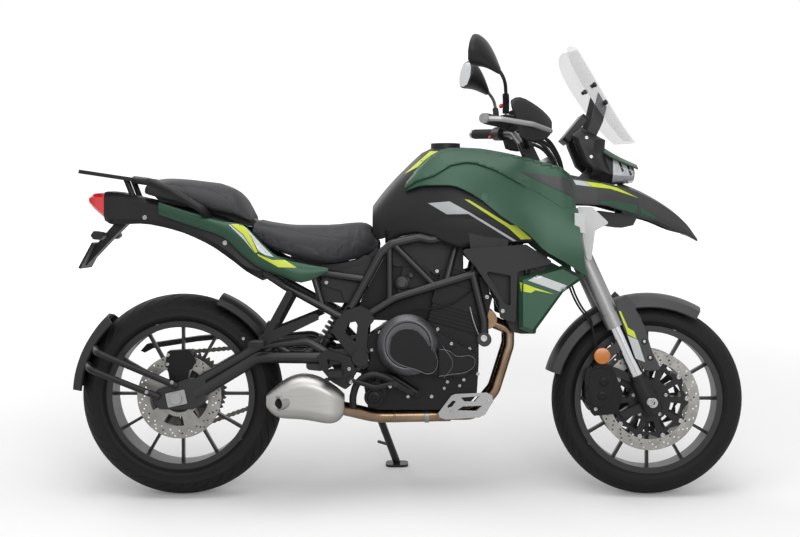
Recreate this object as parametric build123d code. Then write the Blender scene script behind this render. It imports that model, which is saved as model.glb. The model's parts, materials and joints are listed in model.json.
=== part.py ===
"""An adventure motorcycle parked on its side stand.

Modelled upright in millimetres: X forward, Y to the rider's left, Z up, from the ground.
Every piece is then leaned onto the stand and moved to the shared origin.
"""
import os
from math import asin, atan2, cos, degrees, hypot, pi, radians, sin

from build123d import *

# Parking: lean onto the stand, height over the ground, and the origin's place in the upright bike
LEAN = 9.0
LIFT = 1.0
ORIGIN_X = -22.3
ORIGIN_Y = 207.3

# Fits: seated faces, running fits, room round what moves, reach of a joint, and a cut's overrun
SEAT_GAP = 0.3
RUN_GAP = 0.3
SWING_GAP = 6.0
JOIN = 2.0
OVERRUN = 200.0

# Wheels
RIM_SEAT_R = 219.0
RIM_LIP = 12.0
RIM_WALL = 7.0
RIM_SHARE = 0.81
BEAD_RISE = 8.0
BEAD_IN = 4.0
SPOKES = 12
SPOKE_W = 10.0
SPOKE_D = 22.0
AXLE_R = 10.0
FRONT_SIDEWALL = 80.0
FRONT_TYRE_W = 120.0
FRONT_SHOULDER = 37.0
FRONT_HUB_R = 34.0
FRONT_HUB_W = 100.0
REAR_SIDEWALL = 95.0
REAR_TYRE_W = 160.0
REAR_SHOULDER = 44.0
REAR_HUB_R = 48.0
REAR_HUB_W = 130.0

# Brakes
DISC_T = 5.0
DISC_ARMS = 5
DISC_ARM_W = 20.0
DISC_LAP = 4.0
FRONT_DISC_R = 155.0
FRONT_DISC_BAND = 34.0
FRONT_DISC_IN = 39.0
REAR_DISC_R = 130.0
REAR_DISC_BAND = 32.0
REAR_DISC_IN = 42.0
PAD_SIDE = 14.0
PISTON_SIDE = 22.0

# Steering head and fork, with the fork's heights measured up from the axle along the legs
HEAD_FOOT = (442.5, 841.0)
RAKE = 24.4
HEAD_LENGTH = 158.0
HEAD_R = 36.0
STEM_R = 20.0
FORK_OFFSET = 32.0
AXLE_LEAD = 5.0
FORK_SIDE = 7.0
FORK_OUTER_R = 27.0
FORK_INNER_R = 21.0
FORK_FOOT_R = 29.0
FOOT_LOW = -34.0
FOOT_HIGH = 79.0
COLLAR_H = 14.0
SLIDER_LOW = 83.0
SEAL_LOW = 256.0
SEAL_H = 46.0
CLAMP_T = 30.0
CLAMP_GAP = 6.0
LOWER_CLAMP_T = 38.0
CLAMP_WALL = 34.0
LUG_T = 14.0
LUG_IN = 12.0
SPACER_R = 16.0
FENDER_GAP = 26.0
FENDER_SIDE = 9.0
FENDER_T = 4.0
FENDER_ARC = 104.0
FENDER_START = 60.0

# Bars
BAR_R = 11.0
BAR_BEND = 60.0
BAR_LIFT = 58.0
BAR_RISE = 16.0
BAR_FIT = 0.2
RISER_X = -20.0
GRIP_R = 16.5
GRIP_LENGTH = 128.0
POD_LENGTH = 46.0
POD_R = 22.5
LEVER_R = 5.5
RESERVOIR_R = 21.0
GUARD_R = 8.0
GUARD_BENDS = (20.0, 30.0, 26.0, 18.0)
GUARD_CAP_R = 15.0
MIRROR_T = 46.0
MIRROR_CORNER = 20.0
MIRROR_STEM_R = 6.0

# Frame and swingarm
PIVOT = (-167.0, 438.0)
PIVOT_R = 18.0
PIVOT_BOSS_R = 26.0
SWINGARM_LENGTH = 575.5
ARM_R = 20.0
ARM_UPPER_R = 15.0
ARM_SIDE = 9.0
DROPOUT_T = 30.0
ARM_BEND = 60.0
PLATE_IN = 4.0
PLATE_T = 24.0
RAIL_OUT = 7.0
RAIL_R = 13.5
STRUT_R = 10.0
SUBFRAME_IN = 17.0
SUBFRAME_R = 12.0
STAY_HALF_W = 22.0
HUG_GAP = 20.0
SPLASH_GAP = 14.0
PEG_LENGTH = 94.0
COIL_R = 30.0
COILS = 7

# Chain drive
PITCH = 15.875
REAR_TEETH = 48
FRONT_TEETH = 15
TOOTH_ROOT = 5.0
TOOTH_TIP = 4.0
CHAIN_SIDE = 7.0
CHAIN_W = 16.0
CHAIN_PLATE = 3.4
LINK_TALL = 7.4
LINK_WAIST = 4.8
SPROCKET_T = 6.0
SPROCKET_HOLES = 6
OUTPUT = (-95.0, 455.0)
OUTPUT_R = 14.0
POCKET_SIDE = 9.0

# Engine and exhaust
CASE_SIDE = 6.0
HEAD_IN = 10.0
FINS = 5
FIN_GAP = 11.0
FIN_T = 5.0
COVER_DEPTH = 48.0
COVER_STEP = 12.0
COVER_BOSS_R = 8.0
GENERATOR_R = 84.0
PUMP_R = 32.0
HOSE_R = 12.0
PIPE_R = 17.0
PIPE_Y = 58.0
LINK_PIPE_R = 21.0
FLANGE_R = 30.0
MUFFLER_SIDE = 12.0
MUFFLER_HALF_W = 58.0
OUTLET_R = 22.0
OUTLET_BORE = 16.0
SHIELD_T = 6.0
SHIELD_SLOTS = 6

# Body panels
SKIN = 6.0
PANEL_T = 5.0
SCREEN_T = 4.0
NOSE_SLANT = 8.1
BEAK_LUG_R = 6.0
COWL_SIDE = 15.5
COWL_T = 18.0
SIDE_PANEL_T = 21.0
RADIATOR_T = 32.0
RADIATOR_TANK_W = 22.0
CAP_R = 46.0

# Side stand
STAND_PIVOT = (-130.0, 258.0)
STAND_OUT = 40.0
STAND_AXIS = (0.090, 0.785, 0.613)
STAND_PIN_R = 7.0
STAND_EYE_R = 17.0
STAND_EYE_W = 26.0
STAND_LEG_R = 12.0
STAND_FOOT = (-60.0, 286.0)
STAND_FOOT_T = 8.0
STAND_REACH = 60.0

# Luggage rack
RACK_SIDE = 190.0
RACK_T = 12.0
RACK_TILT = 0.15
RACK_BOLT_IN = 80.0
RACK_BOLT_R = 4.25
HANDLE_R = 12.0

# Sizes that follow: wheels
rim_lip_r = RIM_SEAT_R + RIM_LIP
rim_inner_r = RIM_SEAT_R - RIM_WALL
front_tyre_r = RIM_SEAT_R + FRONT_SIDEWALL
rear_tyre_r = RIM_SEAT_R + REAR_SIDEWALL
front_rim_w = FRONT_TYRE_W * RIM_SHARE
rear_rim_w = REAR_TYRE_W * RIM_SHARE

# Distances from the middle of the bike, each from the one inside it
fender_half_w = FRONT_TYRE_W / 2 + FENDER_SIDE
fork_y = fender_half_w + FORK_SIDE + FORK_FOOT_R
front_disc_y = fork_y - FRONT_DISC_IN
chain_y = REAR_TYRE_W / 2 + CHAIN_SIDE + CHAIN_W / 2
chain_low = chain_y - CHAIN_W / 2
chain_high = chain_y + CHAIN_W / 2
pocket_y = chain_low - POCKET_SIDE
arm_y = chain_high + ARM_SIDE + ARM_R
arm_in = arm_y - DROPOUT_T / 2
arm_out = arm_y + DROPOUT_T / 2
rear_disc_y = arm_y - REAR_DISC_IN
plate_y = arm_y - PLATE_IN
plate_out = plate_y + PLATE_T
rail_y = plate_y + RAIL_OUT
subframe_y = rail_y - SUBFRAME_IN
case_half_w = plate_y - CASE_SIDE
head_half_w = case_half_w - HEAD_IN
muffler_y = REAR_TYRE_W / 2 + MUFFLER_SIDE + MUFFLER_HALF_W
cowl_y = rail_y + RAIL_R + COWL_SIDE
cowl_out = cowl_y + COWL_T
radiator_half_w = cowl_y - PANEL_T

# Places that follow from the sizes
lean_sin = sin(radians(LEAN))
lean_cos = cos(radians(LEAN))
rake_sin = sin(radians(RAKE))
rake_cos = cos(radians(RAKE))
axle_ahead = FORK_OFFSET + AXLE_LEAD
fork_drop = (HEAD_FOOT[1] + axle_ahead * rake_sin - front_tyre_r) / rake_cos
front_axle_x = HEAD_FOOT[0] + axle_ahead * rake_cos + fork_drop * rake_sin
arm_angle = -asin((PIVOT[1] - rear_tyre_r) / SWINGARM_LENGTH)
rear_axle_x = PIVOT[0] - SWINGARM_LENGTH * cos(arm_angle)
front_axle = Pos(front_axle_x, 0, front_tyre_r)
rear_axle = Pos(rear_axle_x, 0, rear_tyre_r)
fork = front_axle * Rot(0, -RAKE, 0)
arm_at = Pos(PIVOT[0], 0, PIVOT[1]) * Rot(0, degrees(arm_angle), 0)
arm_end = arm_at * Pos(-SWINGARM_LENGTH, 0, 0)
head_x = -axle_ahead
head_top = fork_drop + HEAD_LENGTH

nodes = {}


def node(name, *shapes):
    """Keep the solids of one named piece."""
    nodes[name] = [solid for shape in shapes for solid in shape.solids()]


def pair(shape):
    """A piece and its mirror image on the other side of the bike."""
    return Compound(shape.solids() + mirror(shape, about=Plane.XZ).solids())


def largest(shape):
    """The largest of a shape's solids."""
    return max(shape.solids(), key=lambda solid: solid.volume)


def tube(points, radius, bend):
    """A round tube along straight runs with arcs between them."""
    line = FilletPolyline(*points, radius=bend)
    return sweep(Plane(origin=line @ 0, z_dir=line % 0) * Circle(radius), path=line)


def rod(start, end, radius):
    """A straight round bar between two points."""
    way = Vector(end) - Vector(start)
    return Part(Solid.make_cylinder(radius, way.length, Plane(origin=start, z_dir=way)).wrapped)


def slab(outline, y_low, y_high, corner=0.0):
    """A side-view outline of x and z points, filled between two distances from the middle."""
    if corner:
        wire = FilletPolyline(*outline, radius=corner, close=True)
    else:
        wire = Polyline(*outline, close=True)
    return extrude(Plane.XZ.offset(-y_high) * make_face(wire), amount=y_high - y_low)


def tapered(layers):
    """A loft across the bike through side-view outlines, each at its own distance from the middle."""
    return loft([Plane.XZ.offset(-y) * make_face(Polyline(*outline, close=True)) for y, outline in layers])


def disc(radius, y_low, y_high, at=(0.0, 0.0)):
    """A round plate or boss across the bike at an x and z place."""
    return extrude(Plane.XZ.offset(-y_high) * Pos(*at) * Circle(radius), amount=y_high - y_low)


def turned(profile, arc=360.0, start=0.0):
    """A profile of y and radius points, turned round the Y axis."""
    face = make_face(Polyline(*[(r, y) for y, r in profile], close=True))
    way = radians(start)
    seat = Plane(origin=(0, 0, 0), x_dir=(cos(way), 0, sin(way)), z_dir=(sin(way), 0, -cos(way)))
    return revolve(seat * face, axis=Axis((0, 0, 0), (0, -1, 0)), revolution_arc=arc)


def polar(radius, angle):
    """The x and z place at a radius and an angle in degrees."""
    return radius * cos(radians(angle)), radius * sin(radians(angle))


def guard_profile(arch, half_w, radius, thickness):
    """A wheel guard's profile, from its outer points: shares of the half width and rises over a radius."""
    outer = [(share * half_w, radius + rise) for share, rise in arch]
    inner = [(share * (half_w - thickness), radius + rise - thickness) for share, rise in reversed(arch)]
    return outer + inner


def curve(places, values, steps):
    """Values in between, on a smooth curve that never swings past its neighbours."""
    rises = [(b - a) / (q - p) for p, q, a, b in zip(places, places[1:], values, values[1:])]
    slopes = [rises[0]]
    for a, b in zip(rises, rises[1:]):
        slopes.append(2 * a * b / (a + b) if a * b > 0 else 0.0)
    slopes.append(rises[-1])
    found = []
    for i in range(len(rises)):
        gap = places[i + 1] - places[i]
        for k in range(steps):
            t = k / steps
            found.append((1 + 2 * t) * (1 - t) ** 2 * values[i] + t * (1 - t) ** 2 * gap * slopes[i]
                         + t * t * (3 - 2 * t) * values[i + 1] - t * t * (1 - t) * gap * slopes[i + 1])
    return found + [values[-1]]


def filled(stations, steps):
    """The stations with more of them in between, each an x, a slant and its points."""
    places = [x for x, slant, points in stations]
    columns = [curve(places, places, steps), curve(places, [slant for x, slant, points in stations], steps)]
    for k in range(len(stations[0][2])):
        for axis in (0, 1):
            columns.append(curve(places, [points[k][axis] for x, slant, points in stations], steps))
    return [(row[0], row[1], list(zip(row[2::2], row[3::2]))) for row in zip(*columns)]


def cross_plane(x, slant=0.0):
    """A plane across the bike that crosses the ground at x, tipped back by a slant."""
    tip = radians(slant)
    return Plane(origin=(x, 0, 0), x_dir=(0, 1, 0), z_dir=(cos(tip), 0, sin(tip)))


def rounded(half):
    """An outline with a smooth curve over its top and sides and a flat base, from its +Y half."""
    side = half[:-1]
    far = [(-y, z) for y, z in reversed(side)]
    over = Spline(*(far[:-1] + side))
    return [over, Polyline(side[-1], half[-1], far[0])]


def cornered(half):
    """An outline with straight sides, from its +Y half."""
    return [Polyline(*half, *[(-y, z) for y, z in reversed(half[1:-1])], close=True)]


def body(stations, section=rounded, steps=3):
    """A solid, alike on both sides, through half outlines across the bike."""
    faces = []
    for x, slant, half in filled([(x, 0.0, half) for x, half in stations], steps):
        faces.append(cross_plane(x) * make_face(section(half)))
    return loft(faces, ruled=True)


def inset(strip, depth):
    """The strip of points moved inwards by a depth."""
    moved = []
    for i, (y, z) in enumerate(strip):
        y0, z0 = strip[max(i - 1, 0)]
        y1, z1 = strip[min(i + 1, len(strip) - 1)]
        size = hypot(y1 - y0, z1 - z0)
        moved.append((y + (z1 - z0) / size * depth, z - (y1 - y0) / size * depth))
    return moved


def panel(stations, thickness, steps=3):
    """A side skin through strips that run from top to bottom, each with its x and its plane's slant."""
    faces = []
    for x, slant, strip in filled(stations, steps):
        stretch = cos(radians(slant))
        outer = Spline(*[(y, z / stretch) for y, z in strip])
        inner = Spline(*[(y, z / stretch) for y, z in inset(strip, thickness)])
        ends = [Line(outer @ 0, inner @ 0), Line(outer @ 1, inner @ 1)]
        faces.append(cross_plane(x, slant) * make_face([outer, inner] + ends))
    return loft(faces, ruled=True)


def wheel(rim_w, hub_r, hub_w):
    """A cast rim, hub and tapered spokes, with the hub bored for the axle."""
    half = rim_w / 2
    ledge = half - RIM_WALL
    rim = turned([(-half, rim_inner_r), (half, rim_inner_r), (half, rim_lip_r), (ledge, rim_lip_r),
                  (ledge, RIM_SEAT_R), (-ledge, RIM_SEAT_R), (-ledge, rim_lip_r), (-half, rim_lip_r)])
    spoke = loft([Pos(0, 0, z) * Rectangle(w, d) for z, w, d in (
        (hub_r - SWING_GAP, SPOKE_W * 1.6, SPOKE_D * 2),
        (RIM_SEAT_R / 2, SPOKE_W, SPOKE_D * 1.4),
        (rim_inner_r + JOIN, SPOKE_W, SPOKE_D))])
    whole = rim + disc(hub_r, -hub_w / 2, hub_w / 2)
    for i in range(SPOKES):
        whole += Rot(0, 180 + i * 360 / SPOKES, 0) * spoke
    return whole - disc(AXLE_R + RUN_GAP, -hub_w, hub_w)


def tyre(radius, width, shoulder, rim_w):
    """A tyre with a round crown that sits between the lips of its rim."""
    half = width / 2
    side = radius - shoulder
    seat = RIM_SEAT_R + SEAT_GAP
    lip = rim_lip_r + SEAT_GAP
    bead = rim_w / 2 - RIM_WALL - SEAT_GAP
    bulge = lip + BEAD_RISE
    crown = ThreePointArc((side, -half), (radius, 0), (side, half))
    wall = Polyline((side, half), (bulge, half - BEAD_IN), (lip, rim_w / 2), (lip, bead), (seat, bead),
                    (seat, -bead), (lip, -bead), (lip, -rim_w / 2), (bulge, BEAD_IN - half), (side, -half))
    return revolve(Plane.XY * make_face([crown, wall]), axis=Axis.Y)


def rotor(radius, band, hub_r, hub_y, disc_y):
    """A brake disc on the +Y side, its carrier arms and the hat that meets the hub."""
    low = disc_y - DISC_T / 2
    high = disc_y + DISC_T / 2
    inner = radius - band
    whole = disc(radius, low, high) - disc(inner - 2 * DISC_LAP, low - JOIN, high + JOIN)
    arm = [(-DISC_ARM_W / 2, 0), (DISC_ARM_W / 2, 0), (DISC_ARM_W / 3, inner), (-DISC_ARM_W / 3, inner)]
    for i in range(DISC_ARMS):
        whole += Rot(0, i * 360 / DISC_ARMS, 0) * slab(arm, low, high)
    return whole + disc(hub_r, hub_y, high) - disc(AXLE_R + RUN_GAP, 0, high + JOIN)


# Front wheel
node("front_rim", front_axle * wheel(front_rim_w, FRONT_HUB_R, FRONT_HUB_W))
node("front_tyre", front_axle * tyre(front_tyre_r, FRONT_TYRE_W, FRONT_SHOULDER, front_rim_w))
front_rotor = rotor(FRONT_DISC_R, FRONT_DISC_BAND, FRONT_HUB_R + 2 * DISC_LAP, FRONT_HUB_W / 2, front_disc_y)
node("front_discs", front_axle * pair(front_rotor))

# Rear wheel
node("rear_rim", rear_axle * wheel(rear_rim_w, REAR_HUB_R, REAR_HUB_W))
node("rear_tyre", rear_axle * tyre(rear_tyre_r, REAR_TYRE_W, REAR_SHOULDER, rear_rim_w))
rear_rotor = rotor(REAR_DISC_R, REAR_DISC_BAND, REAR_HUB_R, REAR_HUB_W / 2, rear_disc_y)
node("rear_disc", rear_axle * mirror(rear_rotor, about=Plane.XZ))


def sprocket(pitch_r, teeth):
    """A toothed wheel that fits the chain's pitch, in the chain's plane."""
    points = []
    for i in range(teeth):
        for turn, r in ((0.0, pitch_r - TOOTH_ROOT), (0.38, pitch_r + TOOTH_TIP), (0.62, pitch_r + TOOTH_TIP)):
            points.append(polar(r, 360 * (i + turn) / teeth))
    return slab(points, tooth_low, tooth_high)


rear_pitch_r = PITCH / 2 / sin(pi / REAR_TEETH)
front_pitch_r = PITCH / 2 / sin(pi / FRONT_TEETH)
tooth_low = chain_y - SPROCKET_T / 2
tooth_high = chain_y + SPROCKET_T / 2
rear_sprocket = sprocket(rear_pitch_r, REAR_TEETH)
window_at = (REAR_HUB_R + rear_pitch_r) / 2
window_r = (rear_pitch_r - REAR_HUB_R) / 2 - 2 * TOOTH_ROOT - JOIN
for i in range(SPROCKET_HOLES):
    window = disc(window_r, tooth_low - JOIN, tooth_high + JOIN, (0, window_at))
    rear_sprocket -= Rot(0, i * 360 / SPROCKET_HOLES, 0) * window
rear_sprocket += disc(REAR_HUB_R, REAR_HUB_W / 2, tooth_high)
node("rear_sprocket", rear_axle * (rear_sprocket - disc(AXLE_R + RUN_GAP, 0, tooth_high + JOIN)))

# Drive chain: two bands of link plates with a bar of rollers between them on each straight run
run_x = OUTPUT[0] - rear_axle_x
run_z = OUTPUT[1] - rear_tyre_r
span = hypot(run_x, run_z)
slope = atan2(run_z, run_x)
wrap = asin((rear_pitch_r - front_pitch_r) / span)
straight = span * cos(wrap)
rear_arc = (pi + 2 * wrap) * rear_pitch_r
front_arc = (pi - 2 * wrap) * front_pitch_r
loop = 2 * straight + rear_arc + front_arc
links = round(loop / PITCH)
top_way = slope + pi / 2 - wrap
low_way = slope - pi / 2 + wrap


def chain_point(along, out):
    """A place on the chain's loop, a distance along it and a distance outwards."""
    if along < straight:
        angle = top_way
        base_x = rear_axle_x + rear_pitch_r * cos(angle) + along * sin(angle)
        base_z = rear_tyre_r + rear_pitch_r * sin(angle) - along * cos(angle)
    elif along < straight + front_arc:
        angle = top_way - (along - straight) / front_pitch_r
        base_x = OUTPUT[0] + front_pitch_r * cos(angle)
        base_z = OUTPUT[1] + front_pitch_r * sin(angle)
    elif along < 2 * straight + front_arc:
        angle = low_way
        back = along - straight - front_arc
        base_x = OUTPUT[0] + front_pitch_r * cos(angle) + back * sin(angle)
        base_z = OUTPUT[1] + front_pitch_r * sin(angle) - back * cos(angle)
    else:
        angle = low_way - (along - 2 * straight - front_arc) / rear_pitch_r
        base_x = rear_axle_x + rear_pitch_r * cos(angle)
        base_z = rear_tyre_r + rear_pitch_r * sin(angle)
    return base_x + out * cos(angle), base_z + out * sin(angle)


def chain_edge(side):
    """The wavy edge of the link plates all round the loop."""
    steps = [(i * loop / links, LINK_TALL) for i in range(links)]
    steps += [((i + 0.5) * loop / links, LINK_WAIST) for i in range(links)]
    return [chain_point(along, side * out) for along, out in sorted(steps)]


def chain_band(y_low):
    """One band of link plates."""
    y_high = y_low + CHAIN_PLATE
    return slab(chain_edge(1), y_low, y_high) - slab(chain_edge(-1), y_low - JOIN, y_high + JOIN)


def chain_bar(start, end):
    """The rollers of one straight run, which reach into both bands."""
    half = LINK_WAIST - 1
    corners = [chain_point(*place) for place in ((start, half), (end, half), (end, -half), (start, -half))]
    return slab(corners, chain_low + CHAIN_PLATE / 2, chain_high - CHAIN_PLATE / 2)


bar_start = rear_pitch_r * 0.75
bar_end = straight - front_pitch_r * 0.8
chain = chain_band(chain_low) + chain_band(chain_high - CHAIN_PLATE)
chain += chain_bar(bar_start, bar_end)
chain += chain_bar(2 * straight + front_arc - bar_end, 2 * straight + front_arc - bar_start)
front_sprocket = sprocket(front_pitch_r, FRONT_TEETH)
front_sprocket += disc(OUTPUT_R, pocket_y + SEAT_GAP, chain_high + SWING_GAP)
node("chain", chain, Pos(OUTPUT[0], 0, OUTPUT[1]) * front_sprocket)

# Fork legs, in the fork's own frame
upper_low = head_top + CLAMP_GAP
upper_high = upper_low + CLAMP_T
lower_high = fork_drop - CLAMP_GAP
lower_low = lower_high - LOWER_CLAMP_T


def leg(low, high, radius):
    """A round length of the left fork leg."""
    return rod((-AXLE_LEAD, fork_y, low), (-AXLE_LEAD, fork_y, high), radius)


outer_tube = leg(SEAL_LOW + SWING_GAP, upper_high + COLLAR_H, FORK_OUTER_R)
outer_tube += leg(SEAL_LOW, SEAL_LOW + SEAL_H, FORK_OUTER_R + JOIN)
node("fork_tubes", fork * pair(outer_tube))
node("fork_sliders", fork * pair(leg(SLIDER_LOW, SEAL_LOW, FORK_INNER_R)))
disc_out = front_disc_y + DISC_T / 2
lug_low = disc_out + LUG_IN
lower_lug = [(-15, 8), (-15, -22), (-96, -16), (-104, 6)]
foot = leg(FOOT_LOW, FOOT_HIGH, FORK_FOOT_R) + leg(FOOT_HIGH, FOOT_HIGH + COLLAR_H, FORK_INNER_R + 2 * JOIN)
foot += slab([(-66, 150), (-66, 112), (-15, 62), (-15, 96)], lug_low, lug_low + LUG_T)
foot += slab(lower_lug, lug_low, lug_low + LUG_T)
foot -= disc(AXLE_R + SEAT_GAP, 0, OVERRUN)
foot -= leg(SLIDER_LOW, SEAL_LOW, FORK_INNER_R + SEAT_GAP)
node("fork_feet", fork * pair(foot))

axle_half = fork_y + FORK_FOOT_R
front_pin = disc(AXLE_R, -axle_half, axle_half + JOIN)
front_pin += pair(disc(SPACER_R - 1, axle_half + SEAT_GAP, axle_half + SWING_GAP + JOIN))
spacer = disc(SPACER_R, disc_out + RUN_GAP, fork_y)
spacer -= leg(FOOT_LOW, FOOT_HIGH, FORK_FOOT_R + SEAT_GAP)
front_pin += pair(disc(AXLE_R, 0, axle_half + JOIN) + spacer)
front_pin -= disc(AXLE_R * 0.6, -OVERRUN, OVERRUN)
node("front_axle", fork * front_pin)

# Clamps, risers and bar
clamp_end = fork_y + CLAMP_WALL
clamp_side = [(head_x - 42, 38), (-AXLE_LEAD - 22, clamp_end), (-AXLE_LEAD + 30, clamp_end), (-AXLE_LEAD + 34, 60)]
clamp_outline = clamp_side + [(-AXLE_LEAD + 18, 0)] + [(x, -y) for x, y in reversed(clamp_side)]
clamp_face = make_face(FilletPolyline(*clamp_outline, radius=9, close=True))
clamps = extrude(Pos(0, 0, upper_low) * clamp_face, amount=CLAMP_T)
clamps += extrude(Pos(0, 0, lower_low) * clamp_face, amount=LOWER_CLAMP_T)
clamps += rod((head_x, 0, lower_high - JOIN), (head_x, 0, upper_low + JOIN), STEM_R - RUN_GAP)
clamps += rod((head_x, 0, upper_high - JOIN), (head_x, 0, upper_high + 4 * JOIN), STEM_R)
bar_z = upper_high + BAR_LIFT
bar_mid_z = bar_z + BAR_RISE
riser_top = bar_mid_z + BAR_R + SKIN
riser_foot = upper_high - JOIN
riser = [(RISER_X - 20, riser_foot), (RISER_X + 20, riser_foot),
         (RISER_X + 18, riser_top), (RISER_X - 18, riser_top)]
clamps += pair(slab(riser, 26, 56, 6))
bar_path = [(RISER_X, 0, bar_mid_z), (RISER_X, 78, bar_mid_z), (RISER_X - 3, 190, bar_z + 72),
            (RISER_X - 102, 398, bar_z + 128)]


def bar(radius):
    """The left half of the handlebar, or room for it."""
    return tube(bar_path, radius, BAR_BEND)


clamps -= pair(leg(0, upper_high + OVERRUN, FORK_OUTER_R + BAR_FIT))
clamps -= pair(bar(BAR_R + BAR_FIT))
node("fork_clamps", fork * clamps)
half_bar = bar(BAR_R)
node("handlebar", fork * (half_bar + mirror(half_bar, about=Plane.XZ)))

# Grips, switch pods, levers and reservoirs
grip_end = Vector(*bar_path[3])
grip_way = (grip_end - Vector(*bar_path[2])).normalized()
grip_start = grip_end - grip_way * GRIP_LENGTH
grip_cap = grip_end + grip_way * SWING_GAP
bar_room = bar(BAR_R + BAR_FIT)
grip = rod(grip_start, grip_cap, GRIP_R)
node("grips", fork * pair(grip - bar_room))
pod_start = grip_start - grip_way * POD_LENGTH
lever_root = pod_start + Vector(34, 4, -6)
lever_knee = lever_root + grip_way * 30 + Vector(28, 0, -8)
lever_tip = grip_end + Vector(54, -14, -14)
controls = rod(pod_start, grip_start - grip_way * JOIN, POD_R)
controls += rod(pod_start + grip_way * 14, lever_root + grip_way * 3, 2 * LEVER_R)
controls += tube([lever_root, lever_knee, lever_tip], LEVER_R, 20)
cup_at = lever_root + Vector(-8, -20, 0)
controls += rod(cup_at + Vector(0, 0, 10), cup_at + Vector(0, 0, 46), RESERVOIR_R)
controls += rod(cup_at, pod_start + grip_way * 10, GUARD_R)
node("controls", fork * pair(controls - bar_room))

# Hand guards
guard_root = (RISER_X - 3, 206, bar_z + 70)
guard_path = [grip_end + grip_way * 15, (-86, 414, bar_z + 110), (-6, 376, bar_z + 60), (44, 300, bar_z + 20),
              (26, 246, bar_z + 30), guard_root]
guard = tube(guard_path, GUARD_R, GUARD_BENDS)
guard += rod(grip_cap, grip_cap + grip_way * GUARD_CAP_R, GUARD_CAP_R)
guard += rod((RISER_X - 3, 206, bar_z + 66), (RISER_X - 8, 214, bar_z + 80), GUARD_CAP_R)
guard -= bar_room
guard -= rod(grip_start, grip_cap + grip_way * SEAT_GAP, GRIP_R + SEAT_GAP)
node("hand_guard_bars", fork * pair(guard))
shell_faces = []
for y, x, low, high in ((246, 28, -8, 106), (300, 52, -30, 118), (352, 36, -36, 124), (392, -10, -14, 116)):
    outer = [(x, bar_z + low), (x + 14, bar_z + 52), (x - 4, bar_z + high)]
    inner = [(out_x - PANEL_T, out_z) for out_x, out_z in reversed(outer)]
    shell_faces.append(Plane.XZ.offset(-y) * make_face(Polyline(*outer, *inner, close=True)))
shell = loft(shell_faces) - tube(guard_path, GUARD_R + BAR_FIT, GUARD_BENDS)
node("hand_guard_shells", fork * pair(largest(shell)))

# Mirrors
mirror_at = Vector(-46, 386, bar_z + 296)
mirror_seat = Plane(origin=mirror_at, x_dir=(0.64, -0.77, 0.0), z_dir=(0.74, 0.62, -0.26))
mirror_face = [(-80, -44), (-76, 48), (72, 56), (84, -20), (40, -52)]
mirror_faces = []
for depth, share in ((0.0, 1.0), (0.5, 0.97), (1.0, 0.6)):
    rim = [(x * share, y * share) for x, y in mirror_face]
    wire = FilletPolyline(*rim, radius=MIRROR_CORNER * share, close=True)
    mirror_faces.append(mirror_seat.offset((depth - 0.57) * MIRROR_T) * make_face(wire))
stem_foot = pod_start + grip_way * 30
mirror_stem = tube([stem_foot + Vector(0, 0, 14), stem_foot + Vector(22, 6, 78),
                    mirror_at + Vector(14, -30, -40), mirror_at + Vector(2, -6, -8)], MIRROR_STEM_R, 24)
mirrors = loft(mirror_faces) + mirror_stem
mirrors -= rod(pod_start, grip_start, POD_R + BAR_FIT)
node("mirrors", fork * pair(largest(mirrors)))

# Front fender round the tyre, with the fork guards that carry it
fender_r = front_tyre_r + FENDER_GAP
fender_arch = [(-1.0, -34), (-0.91, -8), (-0.43, 4), (0.0, 7), (0.43, 4), (0.91, -8), (1.0, -34)]
fender = turned(guard_profile(fender_arch, fender_half_w, fender_r, FENDER_T), FENDER_ARC, FENDER_START)
fork_guard = slab([(28, 312), (64, 330), (76, 254), (65, 150), (60, 80), (27, 92), (26, 118)], fork_y + PANEL_T,
                  fork_y + PANEL_T + 2 * SKIN, 5)
web_z = fender_r - FENDER_GAP
web = slab([(14, web_z - 3), (56, web_z + 13), (58, web_z - 13), (14, web_z - 27)], fender_half_w - PANEL_T,
           fork_y + SKIN + JOIN)
fork_guard += web
fork_guard -= leg(0, OVERRUN + SEAL_LOW, FORK_OUTER_R + JOIN + SEAT_GAP)
node("front_fender", front_axle * fender + fork * pair(fork_guard))

# Front brake calipers, astride the discs and clear of the rim
slot_low = front_disc_y - DISC_T / 2 - SWING_GAP
slot_high = disc_out + SWING_GAP
caliper = slab([(-137, 176), (-89, 172), (-66, 150), (-66, 60), (-110, 8), (-180, 32), (-185, 75)],
               slot_low - PAD_SIDE, slot_high + PISTON_SIDE, 8)
caliper &= disc(rim_inner_r - SWING_GAP, 0, OVERRUN)
caliper -= disc(FRONT_DISC_R + SWING_GAP, slot_low, slot_high)
caliper -= slab(lower_lug, lug_low - BAR_FIT, lug_low + LUG_T + BAR_FIT)
node("front_calipers", fork * pair(caliper))

# Steering head and trellis frame
stem_room = rod((head_x, 0, 0), (head_x, 0, head_top + OVERRUN), STEM_R)
head = rod((head_x, 0, fork_drop), (head_x, 0, head_top), HEAD_R)


def head_at(share):
    """A place at the back of the steering head, a share of its length up."""
    place = fork * Pos(head_x - HEAD_R * 2 / 3, HEAD_R / 2, fork_drop + share * HEAD_LENGTH)
    return tuple(place.position)


rail_bend = (58, 795)
upper_rail = [head_at(0.82), (rail_bend[0], rail_y, rail_bend[1]), (15, rail_y, 806), (-70, rail_y, 787),
              (-104, rail_y, 758), (-196, rail_y, 590)]
lower_rail = [head_at(0.14), (185, rail_y, 697), (-61, rail_y, 620), (-150, rail_y, 566)]
side_frame = tube(upper_rail, RAIL_R, [60, 20, 20, 30]) + tube(lower_rail, RAIL_R, 60)


def upper_rail_y(x):
    """How far the upper rail stands from the middle at an x place."""
    reach = upper_rail[0][0] - rail_bend[0]
    return rail_y - max(0, x - rail_bend[0]) / reach * (rail_y - upper_rail[0][1])


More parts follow.
